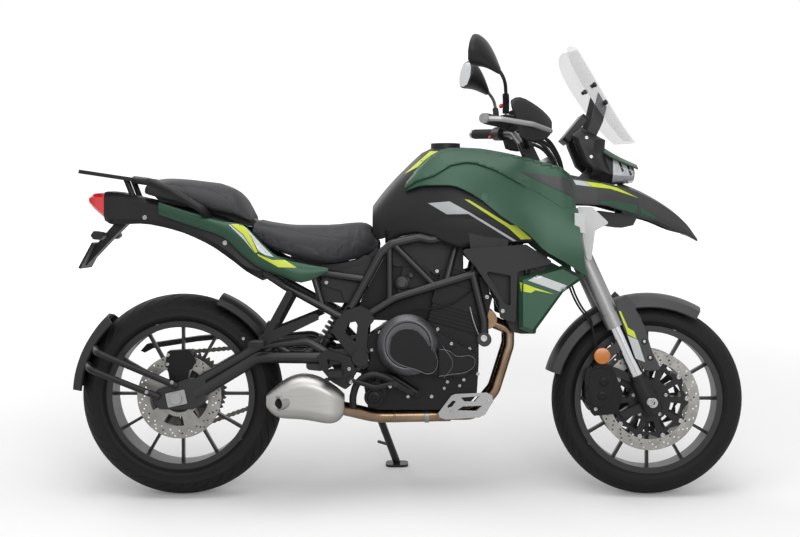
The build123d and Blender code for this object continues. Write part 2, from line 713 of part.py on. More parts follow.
struts = (((-78, 770), (-77, 616)), ((-60, 780), (62, 658)), ((140, 832), (96, 670)), ((215, 868), (176, 696)),
          ((300, 902), (190, 700)))
for (top_x, top_z), (low_x, low_z) in struts:
    side_frame += rod((top_x, upper_rail_y(top_x), top_z), (low_x, rail_y, low_z), STRUT_R)
mount_at = (212, 494)
down_tube = [(178, rail_y, 694), (mount_at[0], rail_y, 552), (mount_at[0], rail_y - JOIN, mount_at[1])]
side_frame += tube(down_tube, RAIL_R, 40)
side_frame += disc(RAIL_R * 1.6, case_half_w + SEAT_GAP, rail_y + RAIL_R + SWING_GAP, mount_at)

# Subframe, which ends in the tail
tail_front = -469.7
lower_tail = tube([(-226, subframe_y, 560), (-400, subframe_y - 6, 655), (tail_front, subframe_y - 20, 700)],
                  SUBFRAME_R, 60)
upper_tail = tube([(-152, subframe_y, 676), (-330, subframe_y - 6, 704), (tail_front, subframe_y - 22, 738)],
                  SUBFRAME_R, 80)
subframe = lower_tail + upper_tail
side_frame += subframe + rod((-284, subframe_y - 3, 594), (-316, subframe_y - 6, 700), STRUT_R)
plate_outline = [(-240, 553), (-214, 582), (-167, 597), (-141, 584), (-122, 556), (-143, 529), (-147, 463),
                 (-141, 395), (-194, 439), (-235, 491), (-256, 519)]
side_frame -= slab(plate_outline, plate_y, plate_out)
stay_outline = [(430, 918), (462, 896), (560, 958), (640, 1000), (640, 1030), (560, 1036)]
frame = fork * head + slab(stay_outline, -STAY_HALF_W, STAY_HALF_W)
frame += side_frame + mirror(side_frame, about=Plane.XZ)
frame += rod((-300, 6 - subframe_y, 698), (-300, subframe_y - 6, 698), STRUT_R)
frame -= fork * stem_room
tail_room = Pos(tail_front - SUBFRAME_R, 0, 700) * Box(2 * SUBFRAME_R, 2 * OVERRUN, OVERRUN)
frame -= tail_room
node("frame", frame)

# Pivot plates and the stand's hanger
plate = slab(plate_outline, plate_y, plate_out, 10)
plate_hole = [(-204, 544), (-181, 549), (-176, 538), (-182, 482), (-214, 515)]
plate -= slab(plate_hole, plate_y - JOIN, plate_out + JOIN, 4)
plate += disc(PIVOT_BOSS_R, plate_out - JOIN, plate_out + 4 * JOIN, PIVOT)
stand_axis = Vector(*STAND_AXIS).normalized()
stand_at = Vector(STAND_PIVOT[0], plate_y + STAND_OUT, STAND_PIVOT[1])
eye_half = stand_axis * (STAND_EYE_W / 2)
hanger = slab([(-196, 440), (-142, 396), (-112, 286), (-112, 246), (-150, 242), (-166, 330)], plate_y,
              plate_y + STAND_EYE_R - 1, 8)
hanger_root = stand_at - stand_axis * STAND_OUT * 0.9
hanger += rod(hanger_root, stand_at - eye_half - stand_axis * 2 * RUN_GAP, STAND_EYE_R - JOIN)
hanger += rod(hanger_root, stand_at + eye_half + stand_axis * 2 * JOIN, STAND_PIN_R)
node("pivot_plates", plate + hanger, mirror(plate, about=Plane.XZ))

# Side stand, from its pin down to a shoe flat on the ground
ground_up = Vector(0, -lean_sin, lean_cos)
shoe_at = Vector(STAND_FOOT[0], STAND_FOOT[1], (STAND_FOOT[1] * lean_sin - LIFT) / lean_cos)
shoe_plane = Plane(origin=shoe_at, x_dir=(1, 0, 0), z_dir=ground_up)
ankle = shoe_at + ground_up * STAND_FOOT_T
leg_way = (ankle - stand_at).normalized()
stand_leg = rod(stand_at + leg_way * STAND_EYE_R / 2, ankle, STAND_LEG_R)
stand_leg -= extrude(shoe_plane * Rectangle(OVERRUN, OVERRUN), amount=-OVERRUN)
prong_at = stand_at + leg_way * 170
stand = rod(stand_at - eye_half, stand_at + eye_half, STAND_EYE_R) + stand_leg
stand += extrude(shoe_plane * RectangleRounded(74, 52, 16), amount=STAND_FOOT_T)
stand += rod(prong_at, prong_at + Vector(-40, 40, 6), PANEL_T)
stand -= rod(stand_at - stand_axis * STAND_REACH, stand_at + stand_axis * STAND_REACH, STAND_PIN_R + RUN_GAP)
stand -= rod(stand_at - stand_axis * STAND_REACH, stand_at - eye_half, STAND_EYE_R + RUN_GAP)
node("side_stand", stand)

# Engine
case_outline = [(-146, 310), (-118, 276), (150, 276), (190, 322), (196, 420), (196, 498), (40, 548), (-60, 556),
                (-146, 500)]
case = slab(case_outline, -case_half_w, case_half_w, 16)
case -= slab([(-200, 386), (-36, 386), (-36, 526), (-200, 526)], pocket_y, case_half_w + JOIN)
barrel = slab([(38, 540), (196, 496), (214, 562), (56, 606)], -head_half_w + 2 * JOIN, head_half_w - 2 * JOIN)
cylinder_head = slab([(50, 606), (222, 558), (240, 626), (70, 674)], -head_half_w, head_half_w, 6)
cam_half_w = head_half_w - 4 * JOIN
cam_cover = slab([(72, 670), (232, 625), (226, 660), (206, 684), (100, 712), (80, 700)], -cam_half_w, cam_half_w, 8)
engine = case + barrel + cylinder_head + cam_cover
for i in range(FINS):
    rise = FIN_GAP * (i + 1)
    lean_on = rise * 0.26
    fin = [(36 + lean_on, 539 + rise), (199 + lean_on, 495 + rise), (200 + lean_on, 495 + FIN_T + rise),
           (37 + lean_on, 539 + FIN_T + rise)]
    engine += slab(fin, -head_half_w, head_half_w)
engine -= disc(PIVOT_BOSS_R + PLATE_IN, -OVERRUN, OVERRUN, PIVOT)
node("engine", engine)

# Engine covers: clutch cover, water pump and hose on the right, generator and sprocket covers on the left
cover_low = case_half_w + SEAT_GAP
cover_high = case_half_w + COVER_DEPTH
clutch_at = (-22, 481)
pinion_at = (132, 424)
cover_outline = [(-110, 520), (-70, 552), (20, 552), (64, 520), (170, 462), (192, 430), (184, 402), (90, 384),
                 (10, 388), (-70, 408), (-112, 450)]
cover_bolts = ((-98, 508), (-42, 546), (44, 526), (112, 486), (178, 446), (172, 408), (54, 394), (-46, 406),
               (-102, 456))
clutch_cover = slab(cover_outline, cover_low, cover_high - COVER_STEP, 24)
clutch_cover += disc(76, cover_low + JOIN, cover_high, clutch_at)
clutch_cover += disc(46, cover_low + JOIN, cover_high + 4 * JOIN, clutch_at)
clutch_cover += disc(44, cover_low + JOIN, cover_high - COVER_STEP + 4 * JOIN, pinion_at)
for bolt_at in cover_bolts:
    clutch_cover += disc(COVER_BOSS_R, cover_low, cover_high - COVER_STEP + 2 * JOIN, bolt_at)
pump_at = (-118, 334)
hose_end = (6, 330)
hose_y = case_half_w + PISTON_SIDE
pump = disc(PUMP_R, cover_low, hose_y + PAD_SIDE, pump_at)
hose_path = [(pump_at[0], 352), (pump_at[0], 396), (-62, 374), hose_end]
pump += tube([(x, hose_y, z) for x, z in hose_path], HOSE_R, [26, 20])
pump += rod((hose_end[0], hose_y, hose_end[1]), (hose_end[0], cover_low, hose_end[1]), HOSE_R + JOIN)
generator_at = (58, 430)
generator = disc(GENERATOR_R, cover_low, cover_high, generator_at)
generator += disc(GENERATOR_R * 0.6, cover_low + JOIN, cover_high + 4 * JOIN, generator_at)
cover_edge = -36 - SEAT_GAP
sprocket_outline = [(-132, 408), (-108, 390), (cover_edge, 390), (cover_edge, 480), (-66, 516), (-108, 522),
                    (-132, 500)]
sprocket_cover = slab(sprocket_outline, chain_high + SWING_GAP, case_half_w + PANEL_T, 16)
sprocket_cover -= disc(OUTPUT_R + 1, 0, OVERRUN, OUTPUT)
right_covers = [mirror(cover, about=Plane.XZ) for cover in (clutch_cover, pump)]
node("engine_covers", *right_covers, generator, sprocket_cover)

# Radiator between its two side tanks
radiator = slab([(330, 520), (330 + RADIATOR_T, 520), (366 + RADIATOR_T, 752), (366, 758)], -150, 150)
radiator += pair(slab([(322, 512), (368, 512), (406, 758), (360, 766)], radiator_half_w - RADIATOR_TANK_W,
                      radiator_half_w, 6))
node("radiator", radiator)


def muffler_section(x, z_low, z_high, half_w):
    """A rounded section across the muffler."""
    tall = z_high - z_low
    face = RectangleRounded(2 * half_w, tall, min(half_w, tall / 2) * 0.62)
    return Plane.YZ.offset(x) * Pos(-muffler_y, (z_low + z_high) / 2) * face


# Exhaust: two headers that meet under the engine, a link pipe, the muffler and its outlet
down = [(292, 520), (292, 470), (248, 330), (186, 254)]
port = (224, 548)
join_at = (70, 254)
right_pipe = [(x, -PIPE_Y, z) for x, z in [port] + down + [join_at]]
left_pipe = [(x, PIPE_Y, z) for x, z in [port] + down]
left_pipe.append((join_at[0], -PIPE_Y + LINK_PIPE_R + PANEL_T, join_at[1]))
pipe_bends = [26, 60, 60, 60]
pipes = tube(right_pipe, PIPE_R, pipe_bends) + tube(left_pipe, PIPE_R, pipe_bends)
link_pipe = [(110, -PIPE_Y, 254), (-120, -PIPE_Y - SKIN, 250), (-236, -muffler_y + 16, 286)]
pipes += tube(link_pipe, LINK_PIPE_R, 120)
pipes += pair(disc(FLANGE_R, PIPE_Y - FLANGE_R - JOIN, PIPE_Y + FLANGE_R + JOIN, (224, 552)))
muffler = loft([muffler_section(*row) for row in (
    (-216, 268, 326, 34), (-246, 242, 352, 50), (-302, 246, 382, 57), (-370, 254, 384, MUFFLER_HALF_W),
    (-424, 264, 352, 56), (-450, 292, 328, 50))])
node("exhaust_pipes", largest(pipes - engine - muffler))
muffler_out = muffler_y + MUFFLER_HALF_W
outlet = rod((-392, -muffler_y - 42, 308), (-414, -muffler_out - 2 * JOIN, 306), OUTLET_R)
outlet_bore = rod((-380, -muffler_y - 20, 308), (-422, -muffler_out - 24, 304), OUTLET_BORE)
node("muffler", largest(muffler + outlet - outlet_bore))
shield_low = case_half_w + 4 * JOIN
shield = slab([(73, 272), (112, 318), (150, 326), (216, 331), (240, 315), (240, 292), (212, 262), (93, 246)],
              shield_low, shield_low + SHIELD_T, 6)
for i in range(SHIELD_SLOTS):
    x = 96 + i * 20
    slot = [(x, 274), (x + 6, 274), (x + 18, 304), (x + 12, 304)]
    shield -= slab(slot, shield_low - JOIN, shield_low + 2 * SHIELD_T)
for post_at in ((120, 304), (170, 312)):
    shield += disc(SHIELD_T, case_half_w, shield_low + JOIN, post_at)
node("exhaust_shield", mirror(shield, about=Plane.XZ) - case)

# Swingarm, in its own frame: X back along the arm from the pivot to the axle
axle_along = -SWINGARM_LENGTH
arm_lower = [(-93, arm_y, 20), (-181, arm_y, 41), (-304, arm_y, 70), (axle_along + 54, arm_y, -4)]
arm_upper = [(-96, arm_y, 35), (-148, arm_y, 84), (-288, arm_y, 102), (axle_along + 46, arm_y, 27)]
arm = tube(arm_lower, ARM_R, ARM_BEND) + tube(arm_upper, ARM_UPPER_R, 50)
for (a_x, a_z), (b_x, b_z) in (((-126, 62), (-188, 44)), ((-246, 94), (-188, 44)), ((-246, 94), (-327, 64)),
                               ((-392, 70), (-327, 64))):
    arm += rod((a_x, arm_y, a_z), (b_x, arm_y, b_z), STRUT_R)
dropout = [(84, -33), (100, 43), (40, 50), (-54, 39), (-72, 2), (-58, -22), (40, -44)]
arm += Pos(axle_along, 0, 0) * slab(dropout, arm_in, arm_out, 12)
arm += slab([(-135, 7), (-125, 52), (5, 23), (-5, -23)], plate_y - PISTON_SIDE, plate_y - SEAT_GAP)
arm += disc(ARM_R + 2 * JOIN, plate_y - PISTON_SIDE, plate_y - SEAT_GAP)
arm -= Pos(axle_along, 0, 0) * disc(AXLE_R + SEAT_GAP, 0, OVERRUN)
cross_beam = slab([(-171, -1), (-161, 44), (-126, 46), (-87, 29), (-88, -11), (-129, -15)], -arm_y, arm_y, 12)
swingarm = arm + mirror(arm, about=Plane.XZ) + cross_beam
swingarm += disc(PIVOT_R, -plate_y + SEAT_GAP, plate_y - SEAT_GAP)
swingarm += slab([(-91, 28), (-98, -5), (-3, -12), (3, 12)], -70, 70)
swingarm = arm_at * swingarm
node("swingarm", swingarm)

# Rear axle with its adjuster blocks and spacers
block_out = arm_out + 5 * JOIN
rear_pin = disc(AXLE_R, -block_out - 5 * JOIN, block_out + 5 * JOIN)
block = slab([(-30, -22), (30, -22), (30, 22), (-30, 22)], arm_out + SEAT_GAP, block_out, 4)
block += disc(PIVOT_R, block_out - JOIN, block_out + 6 * JOIN)
rear_pin += pair(block)
rear_pin += disc(ARM_R, -arm_in + SEAT_GAP, -rear_disc_y - DISC_T / 2 - RUN_GAP)
rear_pin += disc(ARM_R, tooth_high + RUN_GAP, arm_in - SEAT_GAP)
node("rear_axle", arm_end * rear_pin)

# Rear caliper on the right, astride the disc, with its bracket against the arm
rear_slot_low = -rear_disc_y - DISC_T / 2 - SWING_GAP
rear_slot_high = -rear_disc_y + DISC_T / 2 + SWING_GAP
bracket_in = rear_slot_low - 5 * JOIN
rear_caliper = slab([(-42, 92), (-34, 142), (34, 146), (54, 112), (40, 84), (0, 78)], bracket_in,
                    rear_slot_high + 6 * JOIN, 8)
rear_caliper -= disc(REAR_DISC_R + SWING_GAP, rear_slot_low, rear_slot_high)
rear_caliper += slab([(-24, 30), (24, 34), (34, 92), (-34, 92)], bracket_in, rear_slot_low, 4)
rear_caliper += slab([(-24, 30), (24, 34), (28, 56), (-28, 56)], -arm_in + SEAT_GAP, rear_slot_low, 4)
rear_caliper -= disc(ARM_R + 1, -OVERRUN, 0)
node("rear_caliper", rear_axle * rear_caliper - swingarm)

# Hugger and chain guard on the arm
hug_r = rear_tyre_r + HUG_GAP
hug_half_w = REAR_TYRE_W / 2 + SWING_GAP
hug_arch = [(-1.0, -26), (-0.88, -8), (-0.51, 4), (0.0, 8), (0.51, 4), (0.88, -8), (1.0, -26)]
hug_reach = hug_r - 26
hug_stay = Pos(axle_along, 0, 0) * slab([(hug_reach + 6, 103), (hug_reach + 26, 158), (hug_reach + 12, 169),
                                         (hug_reach - 18, 112)], hug_half_w - 6 * JOIN, arm_y)
hugger = rear_axle * turned(guard_profile(hug_arch, hug_half_w, hug_r, PANEL_T), 46, 22)
hugger = hugger + arm_at * pair(hug_stay) - swingarm
guard_top = [(axle_along - 120, 156), (axle_along - 96, 173), (axle_along + 66, 162), (-291, 134), (-250, 135)]
guard_under = [(-252, 123), (-294, 120), (axle_along + 62, 146), (axle_along - 80, 155), (axle_along - 108, 147)]
chain_guard = slab(guard_top + guard_under, chain_low + JOIN, arm_y + 4 * JOIN)
chain_guard += slab([(-291, 134), (-250, 135), (-236, 103), (-279, 94)], arm_y - SWING_GAP, arm_y + 4 * JOIN)
chain_guard = arm_at * chain_guard - swingarm - hugger
node("rear_guards", hugger, largest(chain_guard))

# Splash guard behind the rear tyre, on two arms from the dropout
splash_r = rear_tyre_r + SPLASH_GAP
splash_half_w = REAR_TYRE_W / 2 + 4 * JOIN
splash_arch = [(-1.0, -20), (-0.68, 8), (0.0, 16), (0.68, 8), (1.0, -20)]
splash_guard = turned(guard_profile(splash_arch, splash_half_w, splash_r, PANEL_T), 44, 133)
splash_y = -arm_out - 9
for angle, (end_x, end_z) in ((150.6, (3, 38)), (161.1, (-51, 4))):
    start_x, start_z = polar(splash_r - 26, angle)
    route = [(start_x, -70, start_z), (start_x + 20, splash_y, start_z - 8), (end_x, splash_y, end_z)]
    splash_guard += tube(route, STRUT_R, 24)
node("splash_guard", rear_axle * splash_guard - arm_end * slab(dropout, -arm_out - SEAT_GAP, -arm_in))

# Foot pegs, pedals and passenger hangers
peg_low = plate_out + SEAT_GAP
peg_plate = peg_low + 5 * JOIN
peg_outline = [(-300, 444), (-271, 464), (-196, 440), (-180, 398), (-192, 359), (-212, 342), (-253, 365),
               (-284, 402)]
bracket = slab(peg_outline, peg_low, peg_plate, 8)
bracket -= disc(PIVOT_BOSS_R + JOIN, 0, OVERRUN, PIVOT)
bracket -= slab([(-268, 436), (-222, 424), (-228, 392), (-262, 398)], 0, OVERRUN, 4)
bracket += slab([(-262, 388), (-218, 388), (-218, 406), (-262, 406)], peg_plate, peg_plate + PEG_LENGTH, 5)
pedal_at = (-196, 372)
pedal_tip = (-60, 366)
pedal_path = [(pedal_at[0], peg_low + 22, pedal_at[1]), (-120, peg_low + 44, 352),
              (pedal_tip[0], peg_low + 50, pedal_tip[1])]
pedal = tube(pedal_path, 7, 30)
pedal += disc(9, peg_low + 44, peg_low + 80, pedal_tip)
pedal += disc(10, peg_plate + SEAT_GAP, peg_low + 28, pedal_at)
hang_low = arm_y + ARM_R + PANEL_T
hang_high = hang_low + 5 * JOIN
rear_hanger = slab([(-310, 572), (-292, 556), (-462, 474), (-482, 484), (-474, 506)], hang_low, hang_high)
rear_hanger += slab([(-392, 642), (-374, 630), (-456, 478), (-476, 488)], hang_low, hang_high)
rear_hanger += disc(9, subframe_y, hang_high, (-304, 562))
rear_hanger += disc(9, subframe_y - 10, hang_high, (-384, 634))
rear_hanger += slab([(-500, 476), (-452, 476), (-452, 494), (-500, 494)], hang_high, hang_high + PEG_LENGTH, 5)
node("foot_pegs", pair(bracket), pair(pedal), pair(rear_hanger - subframe))

# Shock absorber
shock_low = Vector(*(arm_at * Pos(-119, -40, 43)).position)
shock_top = Vector(-206, -40, 596)
shock_way = shock_top - shock_low
shock = rod(shock_low, shock_top, 16)
for i in range(COILS):
    coil_at = shock_low + shock_way * (0.2 + i * 0.1)
    shock += rod(coil_at, coil_at + shock_way.normalized() * 8, COIL_R)
shock -= swingarm
node("shock", shock)

# Fuel tank, with the tunnel for the frame cut from below
tank_base = 834
tank = body([
    (-132, ((0, 904), (44, 898), (74, 872), (78, 830), (64, 800), (0, 800))),
    (-104, ((0, 942), (54, 932), (92, 892), (98, 842), (84, 800), (0, 804))),
    (-35, ((0, 1017), (70, 1000), (116, 936), (128, 872), (120, 832), (0, 832))),
    (49, ((0, 1084), (80, 1058), (134, 985), (154, 900), (148, tank_base), (0, tank_base))),
    (106, ((0, 1089), (90, 1068), (148, 985), (168, 895), (158, tank_base), (0, tank_base))),
    (175, ((0, 1086), (94, 1066), (153, 980), (176, 890), (164, tank_base), (0, tank_base))),
    (240, ((0, 1078), (97, 1060), (156, 975), (180, 885), (168, tank_base), (0, tank_base))),
    (284, ((0, 1066), (98, 1050), (156, 965), (180, 880), (168, tank_base), (0, tank_base))),
])
tank -= slab([(30, 800), (40, 826), (300, 952), (320, 952), (320, 800)], -rail_y - RAIL_R, rail_y + RAIL_R)
tank += extrude(Pos(96, 0, 1080) * Circle(CAP_R), amount=20)
node("fuel_tank", largest(tank))

# Tank covers that run on into the shrouds
nose_x = 614
shroud = panel([
    (-32, 0, ((118, 968), (121, 962), (124, 955), (127, 948))),
    (29, 0, ((100, 1044), (132, 1012), (148, 986), (157, 966))),
    (103, 0, ((92, 1082), (128, 1052), (157, 1005), (176, 966))),
    (175, 0, ((98, 1082), (134, 1052), (169, 990), (192, 938))),
    (260, 0, ((110, 1070), (150, 1038), (188, 968), (208, 872))),
    (340, 0, ((150, 1050), (170, 1020), (208, 940), (228, 818))),
    (400, 0, ((156, 1034), (178, 1004), (217, 920), (238, 760))),
    (nose_x, NOSE_SLANT, ((158, 1000), (176, 968), (210, 898), (228, 690))),
], SKIN)
boss = largest(rod((210, 150, 930), (210, 196, 930), 2 * SKIN) - tank)
node("tank_shrouds", pair(shroud + boss))
scoop = slab([(494, 900), (540, 898), (590, 850), (548, 826), (536, 734), (522, 742)], 168, 168 + SKIN, 5)
scoop += slab([(480, 880), (512, 880), (512, 820), (480, 820)], 168 + JOIN, 230)
node("scoops", pair(largest(scoop - shroud)))

# Lower cowls and side panels
cowl_outline = [(141, 770), (338, 785), (426, 728), (312, 702), (306, 545), (258, 562), (255, 612), (180, 722),
                (158, 744)]
cowl = slab(cowl_outline, cowl_y, cowl_out, 8)
cowl -= slab([(215, 704), (290, 690), (290, 596), (272, 606)], cowl_y - JOIN, cowl_out + JOIN, 5)
cowl_top = tank_base - SEAT_GAP
cowl += slab([(170, 766), (284, 776), (284, cowl_top), (160, cowl_top)], cowl_y - PAD_SIDE, cowl_y + 2 * JOIN)
cowl += disc(10, radiator_half_w + SEAT_GAP, cowl_y + 2 * JOIN, (372, 718))
node("lower_cowls", pair(cowl))
side_low = cowl_out + 1
side_panel = tapered((
    (side_low, ((314, 685), (447, 721), (516, 685), (450, 640), (358, 513), (315, 529))),
    (side_low + SIDE_PANEL_T, ((326, 678), (446, 711), (496, 684), (442, 644), (356, 528), (327, 538)))))
side_panel += disc(9, radiator_half_w + SEAT_GAP, side_low + JOIN, (362, 640))
node("side_panels", pair(side_panel))

# Beak: a hollow nose and the two wings that join it to the shrouds
wing = panel([
    (nose_x + 2, NOSE_SLANT, ((140, 998), (164, 964), (172, 908))),
    (565, 0, ((126, 977), (150, 946), (157, 906))),
    (626, 0, ((106, 964), (128, 926), (134, 891))),
    (692, 0, ((78, 947), (98, 906), (102, 875))),
], SKIN)
nose = body([
    (640, ((0, 978), (64, 962), (92, 940), (96, 900), (90, 880), (0, 880))),
    (692, ((0, 958), (62, 946), (90, 908), (92, 880), (86, 868), (0, 866))),
    (740, ((0, 934), (54, 924), (78, 882), (80, 862), (72, 854), (0, 850))),
    (800, ((0, 896), (42, 888), (56, 850), (55, 834), (48, 828), (0, 824))),
    (850, ((0, 852), (24, 848), (32, 828), (31, 818), (26, 814), (0, 811))),
    (888, ((0, 801), (7, 800), (10, 797), (10, 795), (7, 793), (0, 792))),
], cornered)
hollow = body([
    (600, ((0, 950), (50, 946), (76, 920), (80, 890), (80, 800), (0, 800))),
    (692, ((0, 944), (48, 934), (76, 900), (80, 880), (80, 800), (0, 800))),
    (760, ((0, 906), (40, 898), (60, 866), (62, 852), (62, 790), (0, 790))),
    (840, ((0, 846), (16, 842), (22, 826), (22, 816), (22, 780), (0, 780))),
], cornered)
beak = nose - hollow
wing += rod((668, 84, 912), (668, 104, 912), BEAK_LUG_R)
wing = largest(wing - nose)
node("beak", beak, pair(wing))

# Nose fairing: the lamp housing, its cheeks and the chin under it
cheek_y = 97 + SEAT_GAP
cheek = tapered((
    (cheek_y, ((490, 1120), (516, 1142), (588, 1106), (584, 1060), (606, 1000), (545, 1002), (520, 1030),
               (496, 1092))),
    (132, ((486, 1118), (510, 1138), (566, 1106), (561, 1062), (584, 1006), (545, 1008), (517, 1032),
           (492, 1092))),
    (146, ((500, 1108), (514, 1122), (548, 1100), (546, 1064), (556, 1022), (544, 1018), (528, 1040),
           (506, 1090)))))
stay_room = slab(stay_outline, -STAY_HALF_W - SEAT_GAP, STAY_HALF_W + SEAT_GAP)
stay_room += Pos(SEAT_GAP, 0, 0) * stay_room
lamp_x = 612
housing = body([
    (548, ((0, 1096), (90, 1084), (97, 1050), (97, 1000), (60, 976), (0, 976))),
    (586, ((0, 1072), (90, 1066), (97, 1040), (97, 1000), (70, 972), (0, 968))),
    (lamp_x, ((0, 1058), (88, 1050), (95, 1034), (95, 1000), (70, 978), (0, 970))),
], cornered) - stay_room
chin = slab([(560, 890), (690, 872), (676, 843), (640, 835), (592, 842)], -86, 86, 5)
node("nose_fairing", housing, pair(cheek), largest(chin - beak - pair(wing)))

# Headlight and its brow
lamp = body([
    (lamp_x + SEAT_GAP, ((0, 1057), (87, 1049), (94, 1033), (94, 1000), (70, 978), (0, 970))),
    (650, ((0, 1040), (76, 1034), (86, 1018), (84, 996), (60, 980), (0, 972))),
    (684, ((0, 1024), (46, 1020), (60, 1010), (58, 998), (40, 984), (0, 976))),
], cornered) - stay_room
node("headlight", lamp - nose)
brow = panel([
    (572, 0, ((0.5, 1098), (60, 1094), (106, 1076))),
    (lamp_x, 0, ((0.5, 1072), (60, 1068), (102, 1052))),
    (650, 0, ((0.5, 1054), (54, 1048), (92, 1036))),
    (694, 0, ((0.5, 1034), (34, 1031), (62, 1020))),
], PANEL_T)
node("headlight_brow", pair(largest(brow - housing - lamp - cheek)))


def screen_section(z, x_mid, half_w, depth):
    """An arc across the windscreen at one height."""
    outer = ThreePointArc((x_mid - depth, -half_w), (x_mid, 0), (x_mid - depth, half_w))
    inner = Pos(-SCREEN_T, 0) * outer
    ends = [Line(outer @ 0, inner @ 0), Line(outer @ 1, inner @ 1)]
    return Plane.XY.offset(z) * make_face([outer, inner] + ends)


# Windscreen, its brackets and the instrument
screen = loft([screen_section(*row) for row in (
    (1102, 695, 118, 50), (1152, 658, 142, 60), (1219, 616, 158, 68),
    (1291, 574, 164, 72), (1363, 532, 150, 62), (1396, 512, 104, 34))])
node("windscreen", screen)
dash_plane = Plane(origin=(490, 0, 1150), x_dir=(0, 1, 0), z_dir=(-0.77, 0, 0.64))
dash = extrude(dash_plane * RectangleRounded(168, 104, 12), amount=-22)
dash += slab([(500, 1108), (560, 1070), (560, 1096), (522, 1150), (506, 1140)], -40, 40)
screen_arm = slab([(528, 1126), (556, 1112), (578, 1160), (592, 1212), (566, 1262), (546, 1180)], 104, 112, 4)
node("instrument", dash - housing, pair(largest(screen_arm - screen - cheek)))

# Seats
rider = body([
    (-108, ((0, 836), (40, 832), (66, 812), (68, 776), (50, 762), (0, 762))),
    (-173, ((0, 850), (60, 845), (104, 820), (110, 770), (88, 738), (0, 738))),
    (-272, ((0, 842), (84, 836), (138, 808), (146, 756), (118, 722), (0, 720))),
    (-370, ((0, 842), (88, 836), (146, 812), (150, 768), (126, 744), (0, 738))),
    (-440, ((0, 850), (86, 845), (140, 825), (144, 792), (126, 768), (0, 762))),
    (-505, ((0, 864), (78, 858), (120, 842), (124, 816), (112, 800), (0, 800))),
])
rider = largest(rider - tank)
node("rider_seat", rider)
pillion = body([
    (-500, ((0, 876), (70, 872), (108, 862), (112, 856), (100, 850), (0, 850))),
    (-525, ((0, 922), (76, 912), (114, 886), (118, 866), (104, 858), (0, 856))),
    (-560, ((0, 962), (84, 950), (122, 915), (126, 884), (108, 870), (0, 866))),
    (-660, ((0, 978), (96, 968), (130, 940), (134, 908), (116, 892), (0, 890))),
    (-760, ((0, 988), (90, 978), (120, 955), (124, 932), (108, 918), (0, 916))),
    (-825, ((0, 986), (72, 978), (96, 962), (100, 946), (84, 934), (0, 932))),
    (-842, ((0, 968), (60, 964), (80, 956), (84, 948), (70, 940), (0, 938))),
])
pillion = largest(pillion - rider)
node("pillion_seat", pillion)

# Battery box, air box and the covers beside the battery
battery = slab([(-290, 606), (-184, 600), (-150, 640), (-132, 750), (-290, 750)], -90, 90, 12)
box_outline = [(-100, 742), (-80, 796), (40, 812), (150, 786), (150, 690), (60, 690), (30, 716), (-60, 716)]
air_box = slab(box_outline, -86, 86, 8)
cover_shape = [(-262, 694), (-124, 732), (-150, 664), (-214, 596), (-226, 640), (-300, 664)]
side_cover = slab(cover_shape, 90 + SEAT_GAP, 100, 8)
node("air_box", largest(battery - shock - rider), air_box - engine, pair(side_cover))

# Tail
tail_end = -966
tail = body([
    (-470, ((0, 756), (90, 756), (112, 748), (114, 700), (100, 672), (0, 672))),
    (-520, ((0, 792), (96, 792), (116, 784), (120, 716), (100, 700), (0, 700))),
    (-561, ((0, 856), (96, 856), (120, 846), (124, 752), (104, 732), (0, 732))),
    (-645, ((0, 884), (98, 884), (120, 872), (122, 806), (100, 788), (0, 788))),
    (-752, ((0, 910), (84, 908), (98, 896), (100, 846), (84, 830), (0, 830))),
    (-857, ((0, 934), (72, 930), (84, 916), (86, 862), (72, 848), (0, 848))),
    (-943, ((0, 950), (62, 946), (76, 932), (78, 862), (60, 846), (0, 844))),
    (tail_end, ((0, 950), (58, 946), (72, 932), (73, 872), (58, 858), (0, 856))),
], cornered)
tail = largest(tail - rider - pillion)
node("tail_body", tail)
node("tail_light", body([
    (tail_end - SEAT_GAP, ((0, 946), (56, 943), (70, 930), (71, 876), (58, 866), (0, 864))),
    (-1002, ((0, 944), (46, 941), (58, 930), (56, 905), (46, 896), (0, 894))),
    (-1018, ((0, 936), (36, 934), (46, 928), (46, 918), (36, 912), (0, 910))),
], cornered))
tail_side = panel([
    (-266, 0, ((140, 712), (142, 709), (143, 706), (142, 702))),
    (-348, 0, ((142, 727), (151, 712), (153, 690), (144, 667))),
    (-416, 0, ((146, 746), (158, 730), (158, 706), (144, 690))),
    (-470, 0, ((147, 790), (157, 768), (156, 740), (140, 710))),
    (-530, 0, ((142, 846), (152, 818), (152, 786), (136, 752))),
    (-590, 0, ((136, 856), (148, 842), (146, 826), (136, 808))),
    (-690, 0, ((126, 884), (136, 870), (134, 856), (124, 842))),
    (-790, 0, ((108, 914), (114, 902), (113, 888), (106, 876))),
], PANEL_T)
tail_clip = rod((-560, 118, 800), (-560, 145, 800), 8) - tail
node("tail_panels", pair(tail_side + tail_clip))

# Rack with its grab handles
rack_plane = Plane(origin=(-950, 0, 1002), x_dir=(1, 0, -RACK_TILT), z_dir=(RACK_TILT, 0, 1))
rack = extrude(rack_plane * RectangleRounded(RACK_SIDE, RACK_SIDE, 26), amount=-RACK_T)
for x in (-48, 0, 48):
    rack -= extrude(rack_plane * Pos(x, 0) * RectangleRounded(22, 110, 8), amount=-2 * RACK_T)
for x in (-RACK_BOLT_IN, RACK_BOLT_IN):
    for y in (-RACK_BOLT_IN, RACK_BOLT_IN):
        rack -= extrude(rack_plane * Pos(x, y) * Circle(RACK_BOLT_R), amount=-2 * RACK_T)
handle_path = [(-868, 84, 984), (-812, 146, 976), (-744, 166, 948), (-650, 156, 892), (-632, 112, 862)]
handle = tube(handle_path, HANDLE_R, [30, 60, 30])
handle += rod((-900, 62, 990), (-872, 62, 920), 9)
rack += handle + mirror(handle, about=Plane.XZ)
node("rear_rack", largest(rack - tail - pillion - pair(tail_side)))

